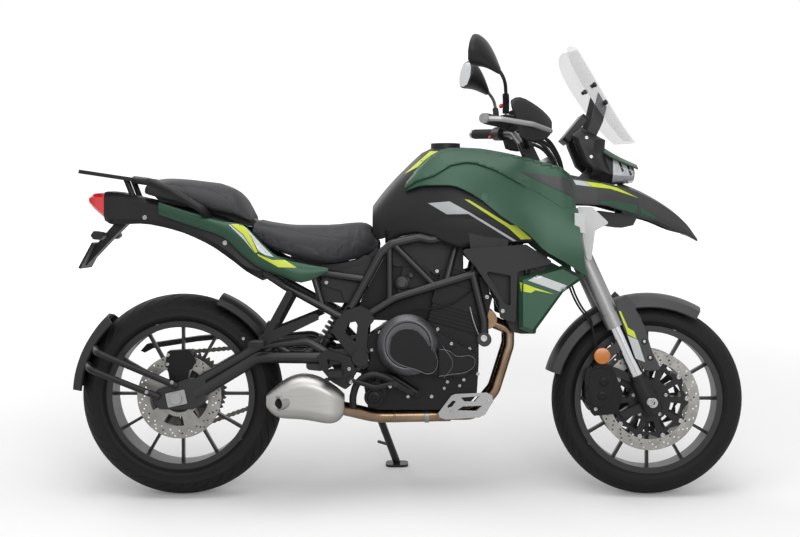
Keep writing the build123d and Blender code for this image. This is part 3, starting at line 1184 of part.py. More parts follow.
# Plate holder with the rear turn lamps
plate_arm = slab([(-940, 850), (-900, 850), (-960, 790), (-1030, 716), (-1040, 722), (-985, 800)], -28, 28)
plate_arm += slab([(-1000, 790), (-1042, 712), (-1036, 708), (-994, 786)], -90, 90)
plate_arm += disc(8, -120, 120, (-972, 812))
lamp_outline = [(-990, 812), (-980, 826), (-956, 822), (-950, 808), (-962, 798), (-982, 800)]
plate_arm += pair(slab(lamp_outline, 108, 160, 5))
node("plate_holder", plate_arm - tail)

# Export, leaned onto the stand and moved to the shared origin
parked = Pos(-ORIGIN_X, -ORIGIN_Y, LIFT) * Rot(-LEAN, 0, 0)
os.makedirs("parts", exist_ok=True)
for name, solids in nodes.items():
    export_step(parked * Compound(solids), os.path.join("parts", name + ".step"))
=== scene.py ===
import bpy
import json
from math import asin, cos, hypot, pi, radians, sin
from mathutils import Matrix, Vector
from mathutils.bvhtree import BVHTree
from mathutils.geometry import delaunay_2d_cdt


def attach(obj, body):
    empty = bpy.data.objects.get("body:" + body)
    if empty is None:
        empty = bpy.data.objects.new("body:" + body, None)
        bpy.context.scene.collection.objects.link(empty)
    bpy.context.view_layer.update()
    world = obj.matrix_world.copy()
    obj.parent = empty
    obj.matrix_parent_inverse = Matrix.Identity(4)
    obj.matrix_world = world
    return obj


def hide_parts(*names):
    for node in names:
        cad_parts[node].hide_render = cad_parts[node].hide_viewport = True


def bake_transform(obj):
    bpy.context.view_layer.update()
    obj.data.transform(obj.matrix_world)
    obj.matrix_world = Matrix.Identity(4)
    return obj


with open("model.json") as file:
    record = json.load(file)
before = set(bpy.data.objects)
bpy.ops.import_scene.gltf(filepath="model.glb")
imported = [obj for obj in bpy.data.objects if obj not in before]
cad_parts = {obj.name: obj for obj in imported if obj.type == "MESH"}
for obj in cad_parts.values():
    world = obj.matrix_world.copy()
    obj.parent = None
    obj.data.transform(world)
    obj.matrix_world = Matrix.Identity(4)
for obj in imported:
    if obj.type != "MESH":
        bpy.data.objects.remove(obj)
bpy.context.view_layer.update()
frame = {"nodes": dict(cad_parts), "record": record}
nodes = frame["nodes"]
body_of = {}
for body_name, members in frame["record"]["behaviour"]["bodies"].items():
    for member in members:
        body_of[member] = body_name

# The upright bike's own frame in millimetres, and where it stands in the row frame
LEAN = radians(9.0)
SHIFT = Vector((22.3, -207.3, 1.0))
TURN = Matrix.Rotation(-LEAN, 3, "X")
UPRIGHT = Matrix.Rotation(pi / 2, 3, "X")
SIDEWAYS = Vector((0, -1, 0))
FORWARD = Vector((1, 0, 0))
AXLE_X = 729.0
FRONT_R = 299.0
REAR_R = 314.0

# The photograph's size in pixels, and its camera: distance, height, facing pixel and millimetres to a pixel
PHOTO_W = 800
PHOTO_H = 537
FAR = 5000.0
EYE_Z = 850.0
EYE_PX = 415.0
EYE_PY = 223.0
PIXEL = 3.15
FILM_W = 36.0

# Angles past which an edge shows sharp, on plain pieces, on films and shells, and on the CAD surfaces
CRISP = radians(40)
SOFT = radians(60)
CAD_CRISP = radians(32)


def at(x, y, z):
    """A place in the row frame, in metres, from one in the upright bike's frame in millimetres."""
    return (TURN @ Vector((x, y, z)) + SHIFT) * 0.001


def bike(place):
    """A place in the upright bike's frame, in millimetres, from one in the row frame in metres."""
    return TURN.transposed() @ (Vector(place) * 1000 - SHIFT)


def sight(px, py):
    """The bike-frame ray through a pixel of the photograph: where it starts and where it goes."""
    eye = Vector((0, -FAR, EYE_Z))
    return eye, Vector(((px - EYE_PX) * PIXEL, 0, EYE_Z + (EYE_PY - py) * PIXEL)) - eye


def seen(px, py, y):
    """The bike-frame place behind a pixel of the photograph, at a known distance from the bike's middle."""
    eye, way = sight(px, py)
    return eye + way * ((y + FAR) / FAR)


# Camera: the photograph's, square to the upright bike
camera = bpy.data.objects.new("camera", bpy.data.cameras.new("camera"))
bpy.context.scene.collection.objects.link(camera)
bpy.context.scene.camera = camera
camera.matrix_world = Matrix.Translation(at(0, -FAR, EYE_Z)) @ (TURN @ UPRIGHT).to_4x4()
camera.data.sensor_width = FILM_W
camera.data.lens = FAR / PIXEL / PHOTO_W * FILM_W
camera.data.shift_x = (PHOTO_W / 2 - EYE_PX) / PHOTO_W
camera.data.shift_y = (EYE_PY - PHOTO_H / 2) / PHOTO_W
camera.data.clip_end = 100.0


# Materials
BUMP_DEPTH = 0.0004


def added(tree, kind, values):
    """A new shader node with some of its inputs set."""
    node = tree.nodes.new("ShaderNode" + kind)
    for key, value in values.items():
        node.inputs[key].default_value = value
    return node


def material(name, colour, rough, metal=0.0, **extra):
    """A finish with rounded edges, a fine bump, uneven roughness and slight patches of wear or dust."""
    m = bpy.data.materials.new(name)
    m.use_nodes = True
    tree = m.node_tree
    shader = tree.nodes["Principled BSDF"]
    shader.inputs["Metallic"].default_value = metal
    shader.inputs["Specular IOR Level"].default_value = extra.get("specular", 0.5)
    place = added(tree, "TexCoord", {})
    stretch = added(tree, "Mapping", {"Scale": extra.get("stretch", (1.0, 1.0, 1.0))})
    tree.links.new(place.outputs["Object"], stretch.inputs["Vector"])
    patch = added(tree, "TexNoise", {"Scale": extra.get("patch", 9.0), "Detail": 6.0})
    tree.links.new(stretch.outputs["Vector"], patch.inputs["Vector"])
    vary = extra.get("vary", 0.06)
    span = added(tree, "MapRange", {"To Min": rough - vary, "To Max": rough + vary})
    tree.links.new(patch.outputs["Fac"], span.inputs["Value"])
    tree.links.new(span.outputs["Result"], shader.inputs["Roughness"])
    shade = added(tree, "ValToRGB", {})
    worn = extra.get("worn", 0.12)
    low, high = shade.color_ramp.elements
    low.position = 0.3
    low.color = (*[c * (1 - worn) for c in colour], 1.0)
    high.position = 0.7
    high.color = (*[c * (1 + worn) for c in extra.get("other", colour)], 1.0)
    tree.links.new(patch.outputs["Fac"], shade.inputs["Fac"])
    tree.links.new(shade.outputs["Color"], shader.inputs["Base Color"])
    grain = added(tree, "TexNoise", {"Scale": extra.get("grain", 900.0), "Detail": 2.0})
    tree.links.new(stretch.outputs["Vector"], grain.inputs["Vector"])
    bump = added(tree, "Bump", {"Strength": extra.get("bump", 0.08), "Distance": BUMP_DEPTH})
    tree.links.new(grain.outputs["Fac"], bump.inputs["Height"])
    if extra.get("edge", 0.0015) > 0:
        edge = added(tree, "Bevel", {"Radius": extra.get("edge", 0.0015)})
        edge.samples = 4
        tree.links.new(edge.outputs["Normal"], bump.inputs["Normal"])
    tree.links.new(bump.outputs["Normal"], shader.inputs["Normal"])
    if "coat" in extra:
        shader.inputs["Coat Weight"].default_value = extra["coat"]
        shader.inputs["Coat Roughness"].default_value = extra.get("coat_rough", 0.15)
    shader.inputs["Alpha"].default_value = extra.get("alpha", 1.0)
    if "glow" in extra:
        shader.inputs["Emission Color"].default_value = (*colour, 1.0)
        shader.inputs["Emission Strength"].default_value = extra["glow"]
    return m


green = material("green_paint", (0.03, 0.078, 0.049), 0.4, 0.25, specular=0.3, worn=0.05, bump=0.04)
black = material("black_plastic", (0.0115, 0.0117, 0.012), 0.45, specular=0.28, bump=0.15, grain=1200.0)
grey = material("grey_plastic", (0.03, 0.031, 0.0315), 0.45, specular=0.4)
satin = material("satin_black", (0.009, 0.009, 0.0095), 0.36, specular=0.45)
cast = material("cast_black", (0.009, 0.009, 0.0094), 0.46, specular=0.28, bump=0.3, grain=500.0)
engine_black = material("engine_black", (0.0045, 0.0045, 0.0048), 0.38, specular=0.2, bump=0.15,
                        grain=600.0)
# Lighter grey metal for the clutch ring and the cover edges: partly painted highlight on the black engine
# covers
painted_highlight_grey = material("painted_highlight_grey", (0.085, 0.085, 0.09), 0.34, 0.8, bump=0.2, grain=600.0)
rubber = material("rubber", (0.01, 0.01, 0.01), 0.75, specular=0.25, bump=0.2)
tyre_black = material("tyre_black", (0.007, 0.007, 0.0072), 0.66, specular=0.22, bump=0.2, grain=700.0,
                      worn=0.25)
silver = material("silver", (0.3, 0.3, 0.302), 0.42, 0.9, bump=0.1, grain=900.0, worn=0.06)
steel = material("steel", (0.36, 0.36, 0.36), 0.32, 1.0)
disc_steel = material("disc_steel", (0.27, 0.265, 0.25), 0.34, 1.0, worn=0.15, patch=30.0)
chrome = material("chrome", (0.62, 0.63, 0.64), 0.16, 1.0, worn=0.04)
bronze = material("bronze", (0.17, 0.09, 0.045), 0.28, 1.0, other=(0.3, 0.22, 0.155), worn=0.1, patch=6.0)
muffler_steel = material("muffler_steel", (0.37, 0.362, 0.35), 0.42, 1.0, stretch=(2.0, 40.0, 40.0),
                         patch=4.0, worn=0.05)
chain_steel = material("chain_steel", (0.14, 0.13, 0.115), 0.42, 0.9, worn=0.3, patch=60.0)
seat_cover = material("seat_cover", (0.018, 0.0185, 0.0205), 0.58, specular=0.4, bump=0.35, grain=420.0,
                      edge=0.0005)
thread = material("thread", (0.06, 0.062, 0.066), 0.7)
yellow = material("yellow_film", (0.5, 0.6, 0.02), 0.4, worn=0.05, edge=0.0001)
film_silver = material("silver_film", (0.4, 0.415, 0.42), 0.34, 0.35, worn=0.06, edge=0.0001)
film_black = material("black_film", (0.016, 0.0165, 0.017), 0.4, worn=0.06, edge=0.0001)
white_film = material("white_film", (0.5, 0.51, 0.51), 0.4, worn=0.05, edge=0.0001)
red = material("red_lens", (0.55, 0.012, 0.02), 0.18, glow=0.35, coat=0.6)
# The amber glow is painted light on the side reflectors, which are no lamps; the turn lenses share it
amber = material("amber_lens", (0.4, 0.12, 0.004), 0.25, glow=0.1, coat=0.6)
mirror_glass = material("mirror_glass", (0.5, 0.515, 0.525), 0.06, 1.0, worn=0.03, bump=0.01)
screen_dark = material("screen_dark", (0.006, 0.0065, 0.008), 0.1, coat=1.0, coat_rough=0.05, bump=0.01)
glass = material("screen_glass", (0.3, 0.31, 0.32), 0.12, alpha=0.2, vary=0.02, worn=0.02, bump=0.0,
                 edge=0.0)
lamp_glass = material("lamp_glass", (0.5, 0.52, 0.54), 0.12, coat=1.0, coat_rough=0.05, worn=0.2,
                      patch=40.0, bump=0.0)
switch_red = material("switch_red", (0.5, 0.03, 0.02), 0.4)

finishes = [
    (satin, "front_rim rear_rim handlebar frame swingarm shock side_stand"),
    (chain_steel, "rear_sprocket chain"),
    (tyre_black, "front_tyre rear_tyre"),
    (disc_steel, "front_discs rear_disc"),
    (silver, "fork_tubes rear_axle hand_guard_bars exhaust_shield"),
    (chrome, "fork_sliders"),
    (cast, "fork_feet fork_clamps pivot_plates radiator rear_rack foot_pegs"),
    (steel, "front_axle"),
    (engine_black, "front_calipers rear_caliper engine engine_covers"),
    (rubber, "grips"),
    (black, "controls hand_guard_shells mirrors fuel_tank lower_cowls nose_fairing instrument "
            "tail_body plate_holder rear_guards splash_guard air_box"),
    (grey, "front_fender beak"),
    (bronze, "exhaust_pipes"),
    (muffler_steel, "muffler"),
    (green, "tank_shrouds side_panels headlight_brow tail_panels"),
    (white_film, "scoops"),
    (lamp_glass, "headlight"),
    (glass, "windscreen"),
    (seat_cover, "rider_seat pillion_seat"),
    (red, "tail_light"),
]


# Smooth shading of the CAD surfaces, with every edge sharper than a limit kept crisp
def soft_shading(limit):
    """A modifier tree that joins split corners and shades smoothly up to an angle."""
    group = bpy.data.node_groups.new("soft_shading", "GeometryNodeTree")
    group.interface.new_socket("Geometry", in_out="INPUT", socket_type="NodeSocketGeometry")
    group.interface.new_socket("Geometry", in_out="OUTPUT", socket_type="NodeSocketGeometry")
    source = group.nodes.new("NodeGroupInput")
    result = group.nodes.new("NodeGroupOutput")
    plain = group.nodes.new("GeometryNodeRemoveAttribute")
    plain.inputs["Name"].default_value = "custom_normal"
    merged = group.nodes.new("GeometryNodeMergeByDistance")
    merged.inputs["Distance"].default_value = 0.00002
    smooth = group.nodes.new("GeometryNodeSetShadeSmooth")
    crisp = group.nodes.new("GeometryNodeSetShadeSmooth")
    crisp.domain = "EDGE"
    angle = group.nodes.new("GeometryNodeInputMeshEdgeAngle")
    small = group.nodes.new("ShaderNodeMath")
    small.operation = "LESS_THAN"
    small.inputs[1].default_value = limit
    group.links.new(source.outputs[0], plain.inputs[0])
    group.links.new(plain.outputs[0], merged.inputs["Geometry"])
    group.links.new(merged.outputs[0], smooth.inputs[0])
    group.links.new(smooth.outputs[0], crisp.inputs[0])
    group.links.new(angle.outputs["Unsigned Angle"], small.inputs[0])
    group.links.new(small.outputs[0], crisp.inputs["Shade Smooth"])
    group.links.new(crisp.outputs[0], result.inputs[0])
    return group


shading = soft_shading(CAD_CRISP)
for paint, names in finishes:
    for name in names.split():
        nodes[name].data.materials.clear()
        nodes[name].data.materials.append(paint)
        nodes[name].modifiers.new("soft_shading", "NODES").node_group = shading


# Shapes, as lists of bike-frame places and of faces
def joined(shapes):
    """One list of places and one of faces from several shapes."""
    places = []
    faces = []
    for more_places, more_faces in shapes:
        faces += [tuple(k + len(places) for k in face) for face in more_faces]
        places += more_places
    return places, faces


def lathe(place, axis, profile, count=16):
    """A turned shape with closed ends, its profile given as distances along the axis and radii."""
    axis = Vector(axis).normalized()
    side = axis.orthogonal().normalized()
    other = axis.cross(side)
    places = []
    for along, r in profile:
        for k in range(count):
            turn = 2 * pi * k / count
            places.append(Vector(place) + axis * along + (side * cos(turn) + other * sin(turn)) * r)
    faces = [tuple(range(count))[::-1], tuple(range((len(profile) - 1) * count, len(profile) * count))]
    for i in range(len(profile) - 1):
        for k in range(count):
            a = i * count + k
            b = i * count + (k + 1) % count
            faces.append((a, b, b + count, a + count))
    return places, faces


def mirrored(shape):
    """The same shape on the bike's other side."""
    places, faces = shape
    return [Vector((p.x, -p.y, p.z)) for p in places], [face[::-1] for face in faces]


def pair(*shapes):
    """Shapes and their copies on the bike's other side, as one."""
    return joined(list(shapes) + [mirrored(shape) for shape in shapes])


def slab(outline, y, thick):
    """A flat solid behind an outline of pixels, from its outer face inwards."""
    front = [seen(px, py, y) for px, py in outline]
    if sum(a.x * b.z - b.x * a.z for a, b in zip(front, front[1:] + front[:1])) < 0:
        front.reverse()
    count = len(front)
    faces = [tuple(range(count)), tuple(range(2 * count - 1, count - 1, -1))]
    for k in range(count):
        m = (k + 1) % count
        faces.append((m, k, k + count, m + count))
    return front + [p + Vector((0, thick, 0)) for p in front], faces


def panel(columns, swell, rows=8):
    """A bulging sheet from columns of pixels, each with its top, its low end and the distances of both."""
    places = []
    for px, top, low, y_top, y_low in columns:
        for k in range(rows + 1):
            y = y_top + (y_low - y_top) * k / rows - swell * sin(pi * k / rows)
            places.append(seen(px, top + (low - top) * k / rows, y))
    faces = []
    for i in range(len(columns) - 1):
        for k in range(rows):
            a = i * (rows + 1) + k
            faces.append((a, a + 1, a + rows + 2, a + rows + 1))
    return places, faces


def thickened(obj, thick):
    """A sheet made solid, inwards from its face."""
    solid = obj.modifiers.new("solid", "SOLIDIFY")
    solid.thickness = thick * 0.001
    solid.offset = -1.0


def placed(name, mesh, paint, body, limit):
    """A mesh as a shown piece. It rides on a body of the bike, unless no body is given."""
    mesh.shade_smooth()
    mesh.set_sharp_from_angle(angle=limit)
    mesh.materials.clear()
    mesh.materials.append(paint)
    obj = bpy.data.objects.new(name, mesh)
    bpy.context.scene.collection.objects.link(obj)
    if body:
        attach(obj, body)
    return obj


def piece(name, shape, paint, body, limit=CRISP):
    """A shown piece from bike-frame places and faces."""
    places, faces = shape
    mesh = bpy.data.meshes.new(name)
    mesh.from_pydata([at(*p) for p in places], [], faces)
    return placed(name, mesh, paint, body, limit)


def hose(name, places, radius, paint, body):
    """A round hose or cable through bike-frame places."""
    curve = bpy.data.curves.new(name + "_path", "CURVE")
    curve.dimensions = "3D"
    curve.bevel_depth = radius * 0.001
    curve.bevel_resolution = 3
    curve.resolution_u = 10
    curve.use_fill_caps = True
    line = curve.splines.new("BEZIER")
    line.bezier_points.add(len(places) - 1)
    for point, place in zip(line.bezier_points, places):
        point.co = at(*place)
        point.handle_left_type = "AUTO"
        point.handle_right_type = "AUTO"
    return settled(name, curve, Matrix.Identity(4), paint, body)


def settled(name, curve, matrix, paint, body):
    """A mesh piece made from a curve."""
    source = bpy.data.objects.new(name + "_source", curve)
    bpy.context.scene.collection.objects.link(source)
    mesh = bpy.data.meshes.new_from_object(source.evaluated_get(bpy.context.evaluated_depsgraph_get()))
    bpy.data.objects.remove(source)
    mesh.transform(matrix)
    return placed(name, mesh, paint, body, CRISP)


def ring(radius, count, centre=(0.0, 0.0)):
    """Points of a circle in a wheel's plane."""
    turns = [2 * pi * k / count for k in range(count)]
    return [(centre[0] + radius * cos(turn), centre[1] + radius * sin(turn)) for turn in turns]


def window(r_low, r_high, middle, half_low, half_high, steps=5):
    """A four-sided opening between two radii, given by its half angles at each."""
    outline = []
    for k in range(steps + 1):
        turn = middle - half_low + 2 * half_low * k / steps
        outline.append((r_low * cos(turn), r_low * sin(turn)))
    for k in range(steps + 1):
        turn = middle + half_high - 2 * half_high * k / steps
        outline.append((r_high * cos(turn), r_high * sin(turn)))
    return outline


def plate(name, loops, thick, x, y, z, paint, body):
    """A flat plate across the bike's width, from its outline and its openings in a wheel's plane."""
    curve = bpy.data.curves.new(name + "_outline", "CURVE")
    curve.dimensions = "2D"
    curve.fill_mode = "BOTH"
    curve.extrude = thick / 2
    for loop in loops:
        line = curve.splines.new("POLY")
        line.points.add(len(loop) - 1)
        line.use_cyclic_u = True
        for point, (u, v) in zip(line.points, loop):
            point.co = (u, v, 0.0, 1.0)
    stand = Matrix.Translation(at(x, y, z)) @ (TURN @ UPRIGHT).to_4x4()
    return settled(name, curve, stand @ Matrix.Scale(0.001, 4), paint, body)


# Where rays meet the CAD surfaces, and the sheets that cover some of them
def surface(mesh):
    """What a ray can meet of a mesh."""
    return BVHTree.FromPolygons([v.co for v in mesh.vertices], [p.vertices for p in mesh.polygons])


covers = {}
trees = {name: surface(node.data) for name, node in nodes.items()}


def hit(ray, names):
    """The first place, outward normal and node that a bike-frame ray meets, or None."""
    start, way = ray
    origin = at(*start)
    heading = (TURN @ way).normalized()
    found = None
    for name in names:
        place, normal, _, distance = trees[name].ray_cast(origin, heading)
        if place is not None and (found is None or distance < found[0]):
            if normal.dot(heading) > 0:
                normal = -normal
            found = (distance, bike(place), TURN.transposed() @ normal, name)
    return found[1:] if found else None


def apart(spot, line):
    """How far a flat point lies from a line of points."""
    best = None
    for a, b in zip(line, line[1:]):
        a = Vector(a)
        run = Vector(b) - a
        share = min(1.0, max(0.0, (spot - a).dot(run) / run.length_squared))
        gap = (spot - a - run * share).length
        best = gap if best is None else min(best, gap)
    return best


def decal(outline, node, ray=sight, step=2.5, lift=0.5, crease=None, height=0.0, reach=1.0):
    """A film on a CAD surface: an outline in ray coordinates, filled with small triangles and laid on.
    It can rise towards a crease."""
    edge = []
    for k, start in enumerate(outline):
        a = Vector(start)
        b = Vector(outline[(k + 1) % len(outline)])
        count = max(1, round((b - a).length / step))
        edge += [a.lerp(b, i / count) for i in range(count)]
    low_u = min(p.x for p in edge)
    low_v = min(p.y for p in edge)
    columns = int((max(p.x for p in edge) - low_u) / step) + 1
    rows = int((max(p.y for p in edge) - low_v) / step) + 1
    grid_u = [low_u + (i + 0.5) * step for i in range(columns)]
    grid_v = [low_v + (j + 0.5) * step for j in range(rows)]
    inner = [Vector((u, v)) for u in grid_u for v in grid_v]
    rim = list(range(len(edge)))
    flat, _, triangles, _, _, _ = delaunay_2d_cdt(edge + inner, [], [rim], 1, 1e-5)
    places = []
    for p in flat:
        met = hit(ray(p.x, p.y), [node] + covers.get(node, []))
        more = height * max(0.0, 1 - apart(p, crease) / reach) if crease else 0.0
        places.append(met[0] + met[1] * (lift + more) if met else None)
    faces = [tuple(t) for t in triangles if all(places[k] is not None for k in t)]
    a, b, c = (places[k] for k in faces[0])
    if (b - a).cross(c - a).dot(ray(flat[faces[0][0]].x, flat[faces[0][0]].y)[1]) > 0:
        faces = [t[::-1] for t in faces]
    used = sorted({k for t in faces for k in t})
    order = {k: i for i, k in enumerate(used)}
    return [places[k] for k in used], [tuple(order[k] for k in t) for t in faces]


def film(name, outlines, node, paint, ray=sight, both=True, **more):
    """Films of one colour on one node, and their copies on the bike's other side."""
    shapes = [decal(outline, node, ray, **more) for outline in outlines]
    if both:
        shapes += [mirrored(shape) for shape in shapes]
    return piece(name, joined(shapes), paint, body_of[node], SOFT)


# The tank's lower sides: columns of pixels, each with its top, its low end and the distances of both
SKIRT_COLUMNS = [(385, 216, 243.4, -101, -90), (393, 215, 239.5, -112, -100),
                 (401.4, 214, 236.3, -123, -112), (415.7, 213, 233.6, -138, -128),
                 (433.6, 213, 237.1, -153, -142), (448, 212, 244.3, -165, -152),
                 (460.4, 212, 247.9, -170, -156), (475, 212, 246.5, -174, -158),
                 (485.4, 212, 245.2, -177, -160), (500, 212, 244.6, -178, -162),
                 (508, 214, 244.4, -178, -164), (516, 220, 244.3, -177, -166),
                 (528, 229, 243.4, -175, -168), (538, 238, 243, -173, -170)]
SKIRT_SWELL = 5
SKIRT_T = 5
skirts = piece("tank_skirts", pair(panel(SKIRT_COLUMNS, SKIRT_SWELL)), black, "chassis", SOFT)
trees["tank_skirts"] = surface(skirts.data)
covers["fuel_tank"] = ["tank_skirts"]
thickened(skirts, SKIRT_T)

# Stripes on the tank and its covers: outlines in the photograph's pixels, and how far they stand off
TANK_TOP_YELLOW = [(404.1, 174.3), (430, 151.4), (455.9, 150.9), (446.4, 156.8), (433.2, 157.1),
                   (418.4, 166.6)]
TANK_TOP_SILVER = [(433.4, 157.5), (446.2, 157.2), (438, 161.3), (424.6, 163), (419, 166.6)]
TANK_SIDE_SILVER = [(428.2, 203.2), (449.6, 201.4), (469.3, 212.1), (516.6, 240.7), (513, 241.1),
                    (468.4, 213.9), (447, 214.3)]
TANK_SIDE_YELLOW = [(464.3, 199.3), (469.3, 200), (510.4, 225), (516.1, 225.5), (531.8, 238.9),
                    (521.1, 239.3), (507.7, 227.3)]
SHROUD_BLACK = [(519.3, 171.4), (556, 176.8), (569, 178.2), (578.2, 198.8), (575.5, 197.9),
                (547.9, 185.7)]
SIDE_LIFT = 1.5
SHROUD_LIFT = 1.2
film("tank_top_yellow", [TANK_TOP_YELLOW], "fuel_tank", yellow)
film("tank_top_silver", [TANK_TOP_SILVER], "fuel_tank", white_film)
film("tank_side_silver", [TANK_SIDE_SILVER], "fuel_tank", film_silver, lift=SIDE_LIFT)
film("tank_side_yellow", [TANK_SIDE_YELLOW], "fuel_tank", yellow, lift=SIDE_LIFT)
film("shroud_black", [SHROUD_BLACK], "tank_shrouds", film_black, lift=SHROUD_LIFT)

# Stripes on the beak, the side panels and the tail
BEAK_YELLOW = [(584.5, 181.4), (601.4, 183.6), (617.5, 188), (639.8, 198.8), (630, 195.2), (610.4, 188.9),
               (592.5, 186.8)]
BEAK_SILVER = [(573, 179.7), (584, 181.2), (592, 186.8), (576, 184.8)]
BEAK_GREEN = [(596, 202), (612, 200.5), (637, 205), (656.8, 217.5), (653, 220), (637, 214.5),
              (614, 206.5)]
SIDE_SILVER = [(538, 275), (571.5, 287.2), (560.4, 291.8), (528, 280.5)]
SIDE_YELLOW = [(519.8, 282.1), (533.6, 287.2), (554.6, 294.3), (535.4, 290.2), (530.9, 292.9),
               (521.1, 291.1)]
TAIL_YELLOW_UPPER = [(230.6, 224.1), (241.8, 224.1), (248.2, 231.3), (257.7, 252), (255.3, 252.9),
                     (243.4, 234.5)]
TAIL_YELLOW_LOWER = [(256.9, 253.6), (272.1, 260), (284.8, 260), (296.8, 267.7), (278.4, 267.2),
                     (258.5, 256)]
TAIL_SILVER = [(243, 225), (249, 231), (262.5, 245.7), (273.6, 257.1), (265.7, 255.2), (258.5, 251.2),
               (251, 236)]
TAIL_WHITE = [(228.5, 224.6), (230, 224.6), (243, 235.2), (254.6, 252.8), (243.4, 239.3)]
film("beak_yellow", [BEAK_YELLOW], "beak", yellow)
film("beak_silver", [BEAK_SILVER], "beak", film_silver)
film("beak_green", [BEAK_GREEN], "beak", green)
film("side_silver", [SIDE_SILVER], "side_panels", film_silver)
film("side_yellow", [SIDE_YELLOW], "side_panels", yellow)
film("tail_yellow", [TAIL_YELLOW_UPPER, TAIL_YELLOW_LOWER], "tail_panels", yellow)
film("tail_silver", [TAIL_SILVER], "tail_panels", film_silver)
film("tail_white", [TAIL_WHITE], "tail_panels", white_film)

# Instrument face and turn lenses, on rays of their own
SCREEN_X = 490
SCREEN_Z = 1150
SCREEN_UP = Vector((0.64, 0, 0.77))
SCREEN_IN = Vector((0.77, 0, -0.64))
SCREEN_AWAY = 300
BIKE_AWAY = 2000


def from_rider(u, v):
    """A ray from the rider's side towards a point of the instrument's face."""
    aim = Vector((SCREEN_X, u, SCREEN_Z)) + SCREEN_UP * v
    return aim - SCREEN_IN * SCREEN_AWAY, SCREEN_IN


def from_behind(y, z):
    """A ray that looks forward along the bike."""
    return Vector((-BIKE_AWAY, y, z)), FORWARD


def from_ahead(y, z):
    """A ray that looks back along the bike."""
    return Vector((BIKE_AWAY, y, z)), -FORWARD


def oblong(low_u, low_v, high_u, high_v):
    """The corners of a rectangle."""
    return [(low_u, low_v), (high_u, low_v), (high_u, high_v), (low_u, high_v)]


face = oblong(-74, -42, 74, 42)
lens = oblong(113, 802, 156, 820)
film("instrument_face", [face], "instrument", screen_dark, from_rider, both=False, step=12)
film("turn_lenses", [lens], "plate_holder", amber, from_behind, step=6)


# Tyres with sheared tread columns, so that every groove's edge is clean
TYRE_LIP_R = 231.5
TREAD_ROWS = 44
GROOVE_HALF = 2.6
GROOVE_SIDE = 0.9
GROOVE_DEPTH = 4.5


def treaded(name, x, radius, width, shoulder, grooves, sweep, body):
    """A road tyre round the wheel's axle, its grooves swept along the tread."""
    half = width / 2
    crown = (half * half + shoulder * shoulder) / (2 * shoulder)
    reach = asin(half / crown)
    lip = TYRE_LIP_R
    rim_half = width * 0.405
    section = [(lip, -rim_half + 8, 0.0), (lip, -rim_half, 0.0), (lip + 5, -rim_half - 4.5, 0.0),
               (lip + 8, 4.5 - half, 0.0), (lip + 14, 1.6 - half, 0.0), (lip + 15.5, 0.6 - half, 0.0),
               (lip + 18, 0.6 - half, 0.0), (lip + 19, 1.2 - half, 0.0)]
    for k in range(TREAD_ROWS + 1):
        turn = reach * (2 * k / TREAD_ROWS - 1)
        section.append((radius - crown + crown * cos(turn), crown * sin(turn), sin(turn) / sin(reach)))
    section += [(r, -y, 0.0) for r, y, _ in reversed(section[:8])]
    pitch = 2 * pi / grooves
    cut = GROOVE_HALF / radius
    lean_in = GROOVE_SIDE / radius
    offsets = [-cut - lean_in, -cut, 0.0, cut, cut + lean_in]
    land = pitch - 2 * (cut + lean_in)
    offsets += [cut + lean_in + land * k / 7 for k in range(1, 7)]
    deep = [0.0, 1.0, 1.0, 1.0, 0.0] + [0.0] * 6
    places = []
    for i in range(grooves):
        for offset, share in zip(offsets, deep):
            for r, y, s in section:
                away = abs(s)
                low, high = (0.1, 0.93) if i % 2 else (0.42, 0.97)
                fade = min(1.0, max(0.0, (away - low) / 0.08), max(0.0, (high - away) / 0.05))
                turn = i * pitch + offset + sweep * away ** 1.4
                if s < 0:
                    turn += pitch * min(1.0, away / 0.1)
                level = r - GROOVE_DEPTH * share * fade
                places.append(Vector((x + level * sin(turn), y, radius + level * cos(turn))))
    count = len(section)
    columns = grooves * len(offsets)
    faces = []
    for i in range(columns):
        j = (i + 1) % columns
        for k in range(count):
            m = (k + 1) % count
            faces.append((i * count + k, i * count + m, j * count + m, j * count + k))
    return piece(name, (places, faces), tyre_black, body, radians(35))


# Both tyres: width, shoulder drop, number of grooves and the sweep of each groove
front_tread = treaded("front_tyre_tread", AXLE_X, FRONT_R, 120.0, 37.0, 44, 0.42, "front_wheel")
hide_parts("front_tyre")
rear_tread = treaded("rear_tyre_tread", -AXLE_X, REAR_R, 160.0, 44.0, 40, -0.38, "rear_wheel")
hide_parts("rear_tyre")

# Drilled front discs on black carriers with silver buttons
DISC_T = 4.6
DISC_ROWS = 24
FRONT_DISC_Y = 66.0
FRONT_DISC_R = 155
FRONT_DISC_BORE_R = 121
FRONT_HOLE_R = 3.1
FRONT_HOLES = ((128.5, 0.0), (137.5, 0.07), (146.5, 0.14))
CARRIER_T = 4.0
CARRIER_INSET = 0.97
CARRIER_ARMS = 10
CARRIER_SCALLOP = [120.5, 120.5, 114, 110, 106, 110, 114, 120.5]
BUTTON_R = 116
BUTTON = [(0, 7.5), (7.2, 7.5), (8, 6.6), (8, 3.4), (6.4, 3)]
DISC_BOLTS = 5
DISC_BOLT_R = 53
DISC_BOLT = [(0, 6), (7, 6), (8, 5), (8, 2.8), (6, 2.6)]
FRONT_HAT_Y = 66.5
FRONT_HAT = [(0, 42), (2, 43), (16.5, 43), (17, 40)]


def drilled(holes, r):
    """Slanted rows of round holes in a disc, each hole of a row given by its radius and its lead."""
    spots = [(radius, k * pi / 12 + lead) for k in range(DISC_ROWS) for radius, lead in holes]
    return [ring(r, 10, (radius * cos(turn), radius * sin(turn))) for radius, turn in spots]


def on_disc(radius, turn, y):
    """A place on a front disc's face."""
    return Vector((AXLE_X + radius * cos(turn), y, FRONT_R + radius * sin(turn)))


